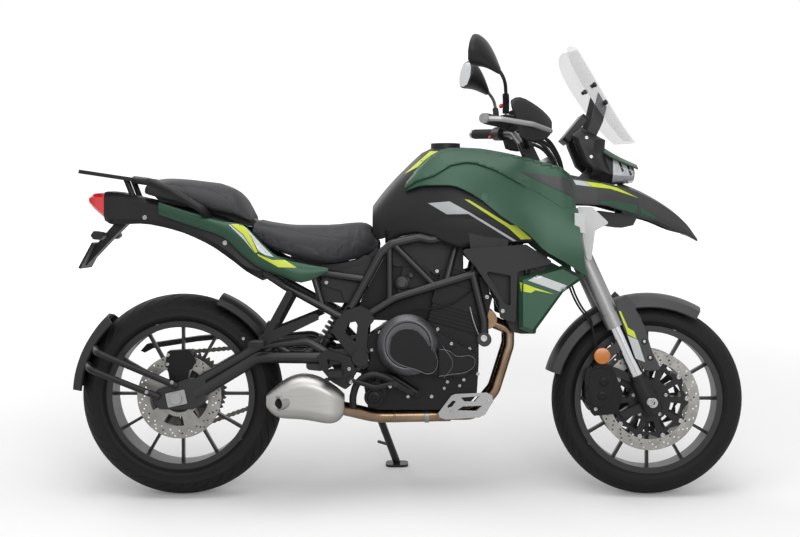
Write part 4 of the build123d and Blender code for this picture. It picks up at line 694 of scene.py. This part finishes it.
front_band = [ring(FRONT_DISC_R, 120), ring(FRONT_DISC_BORE_R, 120)] + drilled(FRONT_HOLES, FRONT_HOLE_R)
scallops = enumerate(CARRIER_SCALLOP * CARRIER_ARMS)
carrier = [[(r * cos(k * pi / 40), r * sin(k * pi / 40)) for k, r in scallops], ring(37, 40)]
carrier += [window(66, 99, (k + 0.5) * pi / 5, 0.2, 0.21) for k in range(CARRIER_ARMS)]
for side, y in (("left", FRONT_DISC_Y), ("right", -FRONT_DISC_Y)):
    band = plate("front_disc_" + side, front_band, DISC_T, AXLE_X, y, FRONT_R, disc_steel, "front_wheel")
    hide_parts("front_discs")
    inset = y * CARRIER_INSET
    plate("front_carrier_" + side, carrier, CARRIER_T, AXLE_X, inset, FRONT_R, cast, "front_wheel")
    out = Vector((0, 1 if y > 0 else -1, 0))
    buttons = []
    for k in range(CARRIER_ARMS):
        place = on_disc(BUTTON_R, (k + 0.075) * pi / 5, y)
        buttons.append(lathe(place - out * 4, out, BUTTON, 14))
    for k in range(DISC_BOLTS):
        place = on_disc(DISC_BOLT_R, (k + 0.25) * 2 * pi / 5, y)
        buttons.append(lathe(place - out * 4, out, DISC_BOLT, 12))
    piece("front_buttons_" + side, joined(buttons), steel, "front_wheel")
hats = [lathe((AXLE_X, y, FRONT_R), (0, -y, 0), FRONT_HAT, 32) for y in (FRONT_HAT_Y, -FRONT_HAT_Y)]
piece("front_hats", joined(hats), cast, "front_wheel")

# The rear disc with its sensor ring
REAR_DISC_Y = -90.0
REAR_DISC_R = 130
REAR_DISC_BORE_R = 48
REAR_HOLE_R = 2.9
REAR_HOLES = ((107, 0.0), (115, 0.08), (123, 0.16))
REAR_WINDOWS = 5
SENSOR_Y = -94.5
SENSOR_T = 2.0
SENSOR_TEETH = 48
REAR_HAT_Y = -92.5
REAR_HAT = [(0, 49), (2, 50), (24, 50), (26, 47)]
rear_band = [ring(REAR_DISC_R, 120), ring(REAR_DISC_BORE_R, 48)] + drilled(REAR_HOLES, REAR_HOLE_R)
rear_band += [window(63, 91, (k + 0.6) * 2 * pi / 5, 0.34, 0.36, 8) for k in range(REAR_WINDOWS)]
rear_plate = plate("rear_disc_drilled", rear_band, DISC_T, -AXLE_X, REAR_DISC_Y, REAR_R, disc_steel,
                   "rear_wheel")
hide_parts("rear_disc")
sensor = [ring(60, 96), ring(50, 96)]
sensor += [window(53, 58, k * pi / 24, 0.028, 0.028, 1) for k in range(SENSOR_TEETH)]
plate("rear_sensor_ring", sensor, SENSOR_T, -AXLE_X, SENSOR_Y, REAR_R, steel, "rear_wheel")
piece("rear_hat", lathe((-AXLE_X, REAR_HAT_Y, REAR_R), (0, 1, 0), REAR_HAT, 40), cast, "rear_wheel")


# Seats: the CAD solid's form blown up a little as a cover over foam, with its seams drawn in
SEAT_GRID = 0.005
SEAT_INSET = 0.003
SEAT_PRESSURE = 4.0
SEAT_STEPS = 20
SEAT_SWELL = 0.006
SEAM_DEPTH = 0.0016
SEAM_REACH = 5
THREAD_R = 0.8


def cushion(name, node, seams):
    """A padded seat in the space of its CAD solid. Each seam is a line of pixels at a known distance."""
    source = bpy.data.objects.new(name + "_source", nodes[node].data.copy())
    bpy.context.scene.collection.objects.link(source)
    grid = source.modifiers.new("grid", "REMESH")
    grid.mode = "VOXEL"
    grid.voxel_size = SEAT_GRID
    mesh = bpy.data.meshes.new_from_object(source.evaluated_get(bpy.context.evaluated_depsgraph_get()))
    bpy.data.objects.remove(source)
    mesh.name = name
    rest = [v.co - v.normal * SEAT_INSET for v in mesh.vertices]
    under = [k for k, v in enumerate(mesh.vertices) if v.normal.z < -0.45]
    for v, place in zip(mesh.vertices, rest):
        v.co = place
    obj = bpy.data.objects.new(name, mesh)
    bpy.context.scene.collection.objects.link(obj)
    held = obj.vertex_groups.new(name="held")
    held.add(under, 1.0, "REPLACE")
    cloth = obj.modifiers.new("cloth", "CLOTH")
    cloth.settings.quality = 4
    cloth.settings.use_pressure = True
    cloth.settings.uniform_pressure_force = SEAT_PRESSURE
    cloth.settings.vertex_group_mass = "held"
    cloth.settings.effector_weights.gravity = 0.0
    cloth.point_cache.frame_end = SEAT_STEPS
    for step in range(1, SEAT_STEPS + 1):
        bpy.context.scene.frame_set(step)
    blown = obj.evaluated_get(bpy.context.evaluated_depsgraph_get()).to_mesh()
    moves = [v.co - place for v, place in zip(blown.vertices, rest)]
    obj.modifiers.remove(cloth)
    obj.vertex_groups.clear()
    bpy.context.scene.frame_set(1)
    for v, place, move in zip(mesh.vertices, rest, moves):
        if move.length > SEAT_SWELL:
            move.length = SEAT_SWELL
        v.co = place + move
    lines = [[seen(px, py, y) for px, py in seam] for y, seam in seams]
    for v in mesh.vertices:
        spot = bike(v.co)
        for line in lines:
            for a, b in zip(line, line[1:]):
                run = Vector((b.x - a.x, b.z - a.z))
                along = (spot.x - a.x) * run.x + (spot.z - a.z) * run.y
                share = min(1.0, max(0.0, along / run.length_squared))
                gap = hypot(spot.x - a.x - run.x * share, spot.z - a.z - run.y * share)
                if gap < SEAM_REACH and abs(spot.y) > abs(a.y) * 0.45:
                    v.co -= v.normal * SEAM_DEPTH * (1 - gap / SEAM_REACH)
    mesh.shade_smooth()
    mesh.materials.clear()
    mesh.materials.append(seat_cover)
    obj.modifiers.new("fine", "SUBSURF").levels = 1
    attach(obj, body_of[node])
    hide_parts(node)
    trees[node] = surface(mesh)
    for k, (y, seam) in enumerate(seams):
        sewn = []
        for start, end in zip(seam, seam[1:]):
            for i in range(4):
                px = start[0] + (end[0] - start[0]) * i / 4
                py = start[1] + (end[1] - start[1]) * i / 4
                met = hit(sight(px, py), [node])
                if met:
                    sewn.append(met[0] + met[1] * 0.2)
        hose(name + "_seam_%d_right" % k, sewn, THREAD_R, thread, body_of[node])
        hose(name + "_seam_%d_left" % k, [(p.x, -p.y, p.z) for p in sewn], THREAD_R, thread, body_of[node])


RIDER_SEAM = [(262, 225), (280, 227), (310, 233.5), (335, 238), (356, 240.5), (371, 246)]
PILLION_SIDE_SEAM = [(208.3, 188.3), (219, 192.6), (227.4, 197.8), (235.4, 207.4), (238.5, 214)]
PILLION_REAR_SEAM = [(168, 184), (190, 186), (208.3, 188.3)]
RIDER_SEAM_Y = -120
PILLION_SEAM_Y = -110
cushion("rider_cushion", "rider_seat", [(RIDER_SEAM_Y, RIDER_SEAM)])
cushion("pillion_cushion", "pillion_seat",
        [(PILLION_SEAM_Y, PILLION_SIDE_SEAM), (PILLION_SEAM_Y, PILLION_REAR_SEAM)])

# Bolt heads at the photograph's pixels, each with its radius: on both sides, or on the right alone
PAIRED_BOLTS = [(144.8, 217.6, 7.5), (225, 243, 8), (326.4, 282.5, 6.5), (437, 271.1, 6.5),
                (487, 296.8, 7), (502.7, 311, 6.5), (352.3, 327.6, 6), (476.7, 115.7, 7),
                (603.8, 128.7, 5.5), (586.6, 137.6, 5.5), (591.2, 156.7, 5.5), (650.3, 402, 12),
                (598.9, 377.3, 6), (595.6, 409.1, 6), (598.7, 369.5, 5), (349.1, 369.1, 6),
                (350.9, 382.3, 6)]
RIGHT_BOLTS = [(396.1, 316.3, 5.5), (419.1, 315.8, 5.5), (379.5, 332.4, 5.5), (371.7, 350, 5.5),
               (437.7, 329.2, 5.5), (451.4, 343.7, 5.5), (469.7, 348.8, 5.5), (481.4, 360, 5.5),
               (477.8, 373.8, 5.5), (463.8, 379.7, 5.5), (447.4, 381.8, 5.5), (431.6, 396.5, 6),
               (459.7, 385.7, 5), (444.3, 388.2, 5), (408.1, 396.5, 5.5), (390.2, 386.4, 5.5),
               (357.8, 403.6, 9), (483.9, 338.3, 11), (490, 331.7, 5.5), (168.1, 355.1, 5.5),
               (167.5, 364.3, 5.5), (192.8, 350.4, 6.5), (200.5, 364.6, 6), (171.8, 382.4, 6),
               (146.5, 392.2, 6), (243.4, 338.7, 5.5), (452, 411.5, 5), (488.5, 401.5, 5)]
UNBOLTED = ("windscreen", "headlight", "rider_seat", "pillion_seat")
heads = {}
solid_names = [name for name in nodes if name not in UNBOLTED]


def stud(px, py, r, both=True):
    """A socket-head bolt that faces sideways, and its copy on the bike's other side."""
    met = hit(sight(px, py), solid_names)
    if met:
        profile = [(-1.5, r), (0.35 * r, r), (0.5 * r, 0.86 * r), (0.5 * r, 0.5 * r), (0.15 * r, 0.45 * r)]
        shape = lathe(met[0], SIDEWAYS, profile, 12)
        heads.setdefault(body_of[met[2]], []).append(shape)
        if both:
            heads[body_of[met[2]]].append(mirrored(shape))


for px, py, r in PAIRED_BOLTS:
    stud(px, py, r)
for px, py, r in RIGHT_BOLTS:
    stud(px, py, r, both=False)

# Clutch cover ring and the small fittings round the engine. The ring's lighter grey metal is partly painted
# highlight on the black cover, over its real bevelled shape.
CLUTCH_MIDDLE = (-22, -164, 479)
CLUTCH_RING = [(0, 94), (3, 94), (5, 93), (15, 79), (17, 77), (18, 74), (17, 70), (12, 68)]
THROTTLE_SPOT = (402, 283, -88)
THROTTLE = [(0, 22), (16, 22), (18, 19), (26, 19), (28, 12), (34, 12)]
VALVE_SPOT = (411, 275, -90)
VALVE = [(0, 9), (18, 9), (20, 6), (26, 6)]
piece("clutch_ring", lathe(CLUTCH_MIDDLE, SIDEWAYS, CLUTCH_RING, 72), painted_highlight_grey, "chassis")
throttle = [lathe(seen(*THROTTLE_SPOT), SIDEWAYS, THROTTLE, 24),
            lathe(seen(*VALVE_SPOT), SIDEWAYS, VALVE, 16)]
piece("throttle_fittings", joined(throttle), grey, "chassis")


# Hoses and cables: pixels of the photograph, each with its distance from the bike's middle
def route(points):
    """The bike-frame places of a hose."""
    return [seen(*point) for point in points]


CLUTCH_CABLE = [(413, 309.5, -127), (428, 309, -130), (443, 306.5, -130), (457, 301, -127),
                (471, 291, -122)]
OIL_STICK = [(470, 307, -118), (473.5, 321, -122), (479.5, 337, -124)]
BRAKE_LINE_UPPER = [(568.5, 284, -52), (573, 296, -62), (579.5, 308, -78), (587, 318, -88)]
BRAKE_LINE_LOWER = [(592.5, 328, -92), (595, 340, -92), (597, 352, -88), (599, 366, -84)]
BRAKE_LINE_GAPS = (0.0, 9.0)
hose("clutch_cable", route(CLUTCH_CABLE), 2.6, rubber, "chassis")
hose("oil_stick", route(OIL_STICK), 2.2, silver, "chassis")
for k, gap in enumerate(BRAKE_LINE_GAPS):
    line = route([(px + gap / 3, py, y) for px, py, y in BRAKE_LINE_UPPER])
    line += route([(px, py, y - gap) for px, py, y in BRAKE_LINE_LOWER])
    hose("front_brake_line_%d" % k, line, 3.2, rubber, "steering")

# Tank cover's raised upper band, with its crease
BAND_CREASE = [(403, 191), (416, 182), (433.6, 176.4), (451, 165.7), (465.7, 163), (476, 164), (496, 171),
               (519, 183.6)]
BAND_EDGE = [(532, 190), (546, 198), (562, 208), (586, 208), (582, 168), (540, 152), (508, 143),
             (480, 136), (440, 136), (403, 176)]
BAND_T = 6
band = film("tank_band", [BAND_CREASE + BAND_EDGE], "tank_shrouds", green, lift=0.2, crease=BAND_CREASE,
            height=6.0, reach=11.0)
thickened(band, BAND_T)

# Mirrors: a shell that narrows towards its stem, behind a glass that looks back and a little inwards
MIRROR_SPOT = (473.5, 51, -380)
MIRROR_RIM = [(-72, -8), (-66, 28), (-40, 47), (10, 52), (54, 44), (74, 22), (76, -6), (58, -36),
              (10, -46), (-44, -40)]
MIRROR_SECTIONS = [(0, 0.95, 0, 0), (2, 1, 0, 0), (12, 1, 0, 0), (34, 0.84, 4, 5), (58, 0.56, 13, 24),
                   (78, 0.26, 21, 46), (82, 0.2, 22, 48)]
GLASS_SHARE = 0.86
GLASS_GAP = 0.4
MIRROR_STEM = [(243, -374, 1298), (255, -364, 1281), (264, -340, 1262), (268, -312, 1240),
               (270, -291, 1215), (270, -280, 1180)]
MIRROR_BOOT = [(270, -279, 1176), (270, -288, 1211), (268.5, -302, 1230)]
facing = Vector((0.955, -0.26, -0.14)).normalized()
across = Vector((-0.26, -0.955, 0.0)).normalized()
upward = across.cross(facing)
mirror_middle = seen(*MIRROR_SPOT)
shell_places = []
for depth, share, aside, down in MIRROR_SECTIONS:
    middle = mirror_middle + facing * depth - across * aside - upward * down
    shell_places += [middle + across * u * share + upward * v * share for u, v in MIRROR_RIM]
count = len(MIRROR_RIM)
last = len(shell_places) - count
shell_faces = [tuple(range(count)), tuple(range(last + count - 1, last - 1, -1))]
for row in range(0, last, count):
    for k in range(count):
        m = (k + 1) % count
        shell_faces.append((row + m, row + k, row + count + k, row + count + m))
shells = piece("mirror_shells", pair((shell_places, shell_faces)), black, "steering", SOFT)
rounding = shells.modifiers.new("round", "SUBSURF")
rounding.levels = 2
rounding.render_levels = 2
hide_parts("mirrors")
glass_middle = mirror_middle - facing * GLASS_GAP
glass_places = [glass_middle + across * u * GLASS_SHARE + upward * v * GLASS_SHARE for u, v in MIRROR_RIM]
piece("mirror_glasses", pair((glass_places, [tuple(range(count))])), mirror_glass, "steering")
for side, sign in (("right", 1), ("left", -1)):
    hose("mirror_stem_" + side, [(x, y * sign, z) for x, y, z in MIRROR_STEM], 5.5, satin, "steering")
    hose("mirror_boot_" + side, [(x, y * sign, z) for x, y, z in MIRROR_BOOT], 10.0, rubber, "steering")

# Hand guard shells inside their silver bars: columns of pixels with their top, low end and distance
GUARD_COLUMNS = [(511, 100, 106, -386), (515, 97.5, 119, -381), (520, 97, 137, -374),
                 (526, 99, 139.5, -364), (532, 102.5, 140.8, -352), (538, 106.5, 141, -338),
                 (543, 110.5, 140.5, -325), (547, 114.5, 138, -312), (550, 118, 135, -299),
                 (552, 122, 130, -288)]
GUARD_SWELL = 10
GUARD_T = 3
guard_sheet = panel([(px, top, low, y, y) for px, top, low, y in GUARD_COLUMNS], GUARD_SWELL)
guards = piece("hand_guards", pair(guard_sheet), black, "steering", SOFT)
thickened(guards, GUARD_T)
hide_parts("hand_guard_shells")

# Fork guards with their stripes and bolts
FORK_GUARD_Y = -128
FORK_GUARD = [(616.5, 304.2), (625.3, 294.7), (634.8, 304.2), (637, 313.7), (644.4, 325.5),
              (651.7, 350.4), (660.5, 368), (658.3, 370.2), (644.4, 370.2), (639.2, 362.1),
              (631.2, 344.5), (623.8, 328.4), (618, 310.8)]
GUARD_YELLOW = [(618.7, 310.8), (621, 311.5), (628, 327.7), (634.1, 331.3), (636.8, 338.7),
                (627.6, 334.3), (626.1, 329.1)]
GUARD_SILVER = [(627.6, 335.5), (637.8, 339.9), (645.2, 362.2), (635.6, 358.5)]
GUARD_BOLTS = [(644.4, 341.6), (650.3, 357.7)]
GUARD_WASHER = [(0, 9), (2, 9), (2.5, 8)]
GUARD_BOLT = [(0, 5), (2, 5), (2.6, 4), (2.6, 2.4), (1, 2.2)]
piece("fork_guards", pair(slab(FORK_GUARD, FORK_GUARD_Y, 5.5)), grey, "steering")
piece("guard_yellow", pair(slab(GUARD_YELLOW, FORK_GUARD_Y - 0.5, 0.7)), yellow, "steering")
piece("guard_silver", pair(slab(GUARD_SILVER, FORK_GUARD_Y - 0.5, 0.7)), film_silver, "steering")
washers = [lathe(seen(px, py, FORK_GUARD_Y + 0.5), SIDEWAYS, GUARD_WASHER, 16) for px, py in GUARD_BOLTS]
piece("guard_washers", pair(*washers), rubber, "steering")
for px, py in GUARD_BOLTS:
    head = lathe(seen(px, py, FORK_GUARD_Y - 2), SIDEWAYS, GUARD_BOLT, 12)
    heads["steering"] += [head, mirrored(head)]

# Round side reflectors on their arms; their amber glow is painted light, as they are no lamps
REFLECTOR_SPOT = (602.1, 355.8, -118)
REFLECTOR = [(0, 24), (1, 25.5), (6, 25.5), (8, 24), (9, 17), (9.4, 3)]
REFLECTOR_ARM = [(598, 349), (606, 349), (621, 340), (624, 346), (608, 362), (598, 362)]
piece("side_reflectors", pair(lathe(seen(*REFLECTOR_SPOT), SIDEWAYS, REFLECTOR, 36)), amber, "steering")
piece("reflector_arms", pair(slab(REFLECTOR_ARM, -118.5, 4)), satin, "steering")

# Front calipers: raised bodies, piston caps and bridge
CALIPER_Y = -104
CALIPER_BODY = [(590.5, 371), (600, 368), (609, 371), (613.5, 380), (612.5, 395), (607, 404), (598, 408),
                (591, 403), (588.5, 388)]
CALIPER_BRIDGE = [(586, 370), (592, 366), (594, 374), (591, 384), (594, 394), (591, 404), (587, 402),
                  (585, 394), (587.5, 388), (584.5, 380)]
PISTONS = [(604, 382), (602.5, 396)]
PISTON_CAP = [(0, 14), (3, 14), (4, 12.5), (4, 7), (2.5, 6)]
caliper = [slab(CALIPER_BODY, CALIPER_Y, 8), slab(CALIPER_BRIDGE, CALIPER_Y + 2, 14)]
caliper += [lathe(seen(px, py, CALIPER_Y), SIDEWAYS, PISTON_CAP, 20) for px, py in PISTONS]
piece("caliper_bodies", pair(*caliper), engine_black, "steering")

# Engine side: cover plates, with lighter grey tubes along their edges and along a ridge as painted
# highlights
PLATE_Y = -187
CLUTCH_PLATE = [(391.2, 336.8), (401.5, 329.5), (414.7, 329.8), (420.6, 333.9), (436.7, 357.4),
                (436.7, 367.6), (430.8, 373.5), (416.2, 369.8), (395.6, 361.8), (389.8, 354.4)]
WING_Y = -173
COVER_WING = [(439, 349), (449.9, 351.5), (455.8, 355.9), (473.4, 357.4), (475.1, 361.8), (471.2, 369.1),
              (448.4, 375), (439, 376.4)]
COVER_RIDGE = [(442.5, 346, -172), (452.5, 364, -174), (444, 378, -170)]
EDGE_R = 1.6
RIDGE_R = 2.0
plate_edge = route([(px, py, PLATE_Y) for px, py in CLUTCH_PLATE + CLUTCH_PLATE[:1]])
wing_edge = route([(px, py, WING_Y) for px, py in COVER_WING])
piece("clutch_plate", slab(CLUTCH_PLATE, PLATE_Y, 9), engine_black, "chassis")
hose("clutch_plate_highlight_edge", plate_edge, EDGE_R, painted_highlight_grey, "chassis")
piece("cover_wing", slab(COVER_WING, WING_Y, 8), engine_black, "chassis")
hose("cover_wing_highlight_edge", wing_edge, EDGE_R, painted_highlight_grey, "chassis")
hose("cover_ridge_highlight", route(COVER_RIDGE), RIDGE_R, painted_highlight_grey, "chassis")

# Lower hose and pump cap
LOWER_HOSE = [(353, 408, -150), (353.5, 394, -160), (359.5, 381, -166), (371, 375, -168),
              (383, 376.5, -168), (394, 382, -164), (404, 388.5, -156), (416, 393, -140)]
LOWER_HOSE_R = 11.0
PUMP_SPOT = (374, 397, -152)
PUMP_CAP = [(0, 30), (10, 30), (12, 28), (12, 21), (17, 19), (18, 16), (18, 8), (15, 7)]
hose("lower_hose", route(LOWER_HOSE), LOWER_HOSE_R, cast, "chassis")
piece("pump_cap", lathe(seen(*PUMP_SPOT), SIDEWAYS, PUMP_CAP, 32), engine_black, "chassis")

# Parts behind the frame tubes and under the seats
INLET = [(354, 319), (362, 298), (384, 258), (396, 252), (436, 266), (442, 280), (437, 291), (433, 300),
         (431, 318), (398, 321)]
DUCT = [(404, 262), (428, 262), (431, 276), (424, 287), (408, 288), (401, 276)]
INJECTOR = [(396, 279), (409, 277), (410, 283), (405, 285), (406, 291), (398, 292)]
RADIATOR_SIDE = [(486, 264), (524, 264), (522, 334), (512, 332), (503, 314), (494, 296)]
UNDER_SEAT = [(286, 249), (300, 254), (330, 264), (352, 261), (378, 247), (381, 257), (352, 270),
              (330, 272), (296, 264)]
UNDER_PILLION = [(146, 187), (150, 182), (200, 190), (235, 204), (256, 221), (251, 226), (220, 218.5),
                 (190, 211), (160, 202)]
piece("inlet_block", slab(INLET, -66, 132), engine_black, "chassis")
piece("inlet_ducts", pair(slab(DUCT, -84, 30)), cast, "chassis")
piece("injector_box", pair(slab(INJECTOR, -98, 16)), grey, "chassis")
piece("radiator_sides", pair(slab(RADIATOR_SIDE, -150, 70)), cast, "chassis")
piece("seat_base", joined([slab(UNDER_SEAT, -72, 144), slab(UNDER_PILLION, -70, 140)]), black, "chassis")

# Exhaust guard with its three openings, and the pipe clamps
SHIELD_Y = -136
SHIELD_T = 4.0
SHIELD_EDGE = [(438.2, 413.1), (451.4, 395.5), (455.8, 394), (486.6, 392.6), (492.4, 395.5),
               (493.2, 401.4), (485.1, 414.6), (479.2, 417.5), (445.5, 419.7), (439.6, 417.5)]
SHIELD_FRONT = [(447.7, 405.8), (452.8, 400.6), (455.8, 401.4), (452.1, 406.5), (447.7, 408)]
SHIELD_UPPER = [(460.9, 397.7), (479.2, 396.2), (474.8, 401.4), (464.6, 401.4)]
SHIELD_LOWER = [(457.2, 410.2), (463.1, 406.5), (482.2, 405.8), (476.3, 410.9)]
WIDE_CLAMP_AT = (30, -60.6, 252)
NARROW_CLAMP_AT = (-66, -64.6, 252)
WIDE_CLAMP = [(0, 20), (0.5, 23), (13, 23), (13.5, 20)]
NARROW_CLAMP = [(0, 20), (1.5, 22.4), (4, 22.4), (5.5, 20)]
shield_loops = []
for outline in (SHIELD_EDGE, SHIELD_FRONT, SHIELD_UPPER, SHIELD_LOWER):
    spots = route([(px, py, SHIELD_Y) for px, py in outline])
    shield_loops.append([(spot.x, spot.z) for spot in spots])
shield_middle = SHIELD_Y + SHIELD_T / 2
shield = plate("exhaust_guard", shield_loops, SHIELD_T, 0.0, shield_middle, 0.0, silver, "chassis")
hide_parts("exhaust_shield")
clamps = [lathe(WIDE_CLAMP_AT, FORWARD, WIDE_CLAMP, 28), lathe(NARROW_CLAMP_AT, FORWARD, NARROW_CLAMP, 28)]
piece("exhaust_clamps", joined(clamps), disc_steel, "chassis")

# Cockpit: screen knobs and switches
KNOB_SPOTS = [(592.4, 86), (603.5, 103.5)]
KNOB = [(0, 6), (9, 6), (10, 8), (17, 8), (18, 6)]
KNOB_DEPTH = 5
knobs = []
for px, py in KNOB_SPOTS:
    met = hit(sight(px, py), ["windscreen"])
    knobs.append(lathe(met[0] - met[1] * KNOB_DEPTH, met[1], KNOB, 14))
piece("screen_knobs", pair(*knobs), black, "chassis")
switches = [lathe((258, -284, 1196), (-0.7, -0.5, 0.5), [(0, 7), (6, 7), (8, 5)], 12),
            lathe((252, 276, 1134), (-0.8, -0.5, 0.2), [(0, 6), (6, 6), (8, 4)], 12)]
piece("switches", joined(switches), switch_red, "steering")

# Lamp marks
LAMP_MIDDLE = (44, 1010)
LAMP_R = 20
LAMP_LINE_UPPER = [(616.5, 157.5), (618.5, 157), (624, 171), (622, 172)]
LAMP_LINE_LOWER = [(626, 164), (628, 164), (632, 175), (630, 175.5)]
film("lamp_rings", [ring(LAMP_R, 24, LAMP_MIDDLE)], "headlight", screen_dark, from_ahead, step=5)
film("lamp_lines", [LAMP_LINE_UPPER, LAMP_LINE_LOWER], "headlight", film_black, step=2)

# Cables that cross the steering head, two on each side
CABLE_RUN = [(340, 150, 1122), (396, 128, 1112), (436, 96, 1070), (458, 72, 1010), (462, 52, 940)]
CABLE_R = 5.5
CABLE_DROP = 14
for k, (side, drop) in enumerate(((-1, 0), (-1, CABLE_DROP), (1, 0), (1, CABLE_DROP))):
    run = [(x, y * side, z - drop) for x, y, z in CABLE_RUN]
    cable = hose("cockpit_cable_%d" % k, run, CABLE_R, rubber, None)
    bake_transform(cable)

for name, shapes in heads.items():
    piece("bolts_" + name, joined(shapes), steel, name)

# Floor: pale, with the bike's shadow on it, and brighter far from the bike
FLOOR_HALF = 60
FLOOR_COLOUR = (0.85, 0.85, 0.85, 1.0)
WHITE = (1.0, 1.0, 1.0, 1.0)
NEAR_REACH = 1.2
NEAR_GLOW = 0.12
FAR_REACH = 4.5
FAR_GLOW = 0.75


def combined(tree, operation, first, second):
    """One shader value worked out from two."""
    node = added(tree, "Math", {})
    node.operation = operation
    tree.links.new(first, node.inputs[0])
    tree.links.new(second, node.inputs[1])
    return node.outputs[0]


corners = [(x, y, 0) for x, y in oblong(-FLOOR_HALF, -FLOOR_HALF, FLOOR_HALF, FLOOR_HALF)]
floor_mesh = bpy.data.meshes.new("floor")
floor_mesh.from_pydata(corners, [], [(0, 1, 2, 3)])
floor = bpy.data.objects.new("floor", floor_mesh)
bpy.context.scene.collection.objects.link(floor)
floor_paint = bpy.data.materials.new("floor_paint")
floor_paint.use_nodes = True
tree = floor_paint.node_tree
shader = tree.nodes["Principled BSDF"]
shader.inputs["Base Color"].default_value = FLOOR_COLOUR
shader.inputs["Roughness"].default_value = 1.0
shader.inputs["Specular IOR Level"].default_value = 0.0
shader.inputs["Emission Color"].default_value = WHITE
path = added(tree, "LightPath", {})
direct = combined(tree, "MAXIMUM", path.outputs["Is Camera Ray"], path.outputs["Is Transmission Ray"])
spot = added(tree, "TexCoord", {})
away = added(tree, "VectorMath", {})
away.operation = "LENGTH"
tree.links.new(spot.outputs["Object"], away.inputs[0])
reach = {"From Min": NEAR_REACH, "From Max": FAR_REACH, "To Min": NEAR_GLOW, "To Max": FAR_GLOW}
rise = added(tree, "MapRange", reach)
rise.interpolation_type = "SMOOTHSTEP"
tree.links.new(away.outputs["Value"], rise.inputs["Value"])
glow = combined(tree, "MULTIPLY", direct, rise.outputs["Result"])
tree.links.new(glow, shader.inputs["Emission Strength"])
floor_mesh.materials.append(floor_paint)

# World: white where it is seen, mirrored or looked through, and dimmer as a light
WORLD_LIGHT = 0.4
world = bpy.data.worlds.new("world")
bpy.context.scene.world = world
world.use_nodes = True
tree = world.node_tree
back = tree.nodes["Background"]
back.inputs["Color"].default_value = WHITE
path = added(tree, "LightPath", {})
direct = combined(tree, "MAXIMUM", path.outputs["Is Camera Ray"], path.outputs["Is Transmission Ray"])
viewed = combined(tree, "MAXIMUM", direct, path.outputs["Is Glossy Ray"])
strength = added(tree, "MapRange", {"To Min": WORLD_LIGHT, "To Max": 1.0})
tree.links.new(viewed, strength.inputs["Value"])
tree.links.new(strength.outputs["Result"], back.inputs["Strength"])


# Lamps: place, aim, width in metres and power
def lamp(name, place, aim, size, power):
    """A soft square lamp that looks at a point."""
    data = bpy.data.lights.new(name, "AREA")
    data.size = size
    data.energy = power
    obj = bpy.data.objects.new(name, data)
    bpy.context.scene.collection.objects.link(obj)
    obj.location = place
    obj.rotation_euler = (Vector(aim) - Vector(place)).to_track_quat("-Z", "Y").to_euler()


lamp("top", (0.0, -0.6, 4.2), (0.0, 0.0, 0.6), 3.6, 105)
lamp("key", (0.9, -4.4, 2.6), (0.1, 0.0, 0.7), 2.4, 75)
lamp("back", (-2.6, 3.2, 2.6), (0.0, 0.0, 0.6), 2.4, 40)

bpy.context.scene.view_settings.view_transform = "Standard"
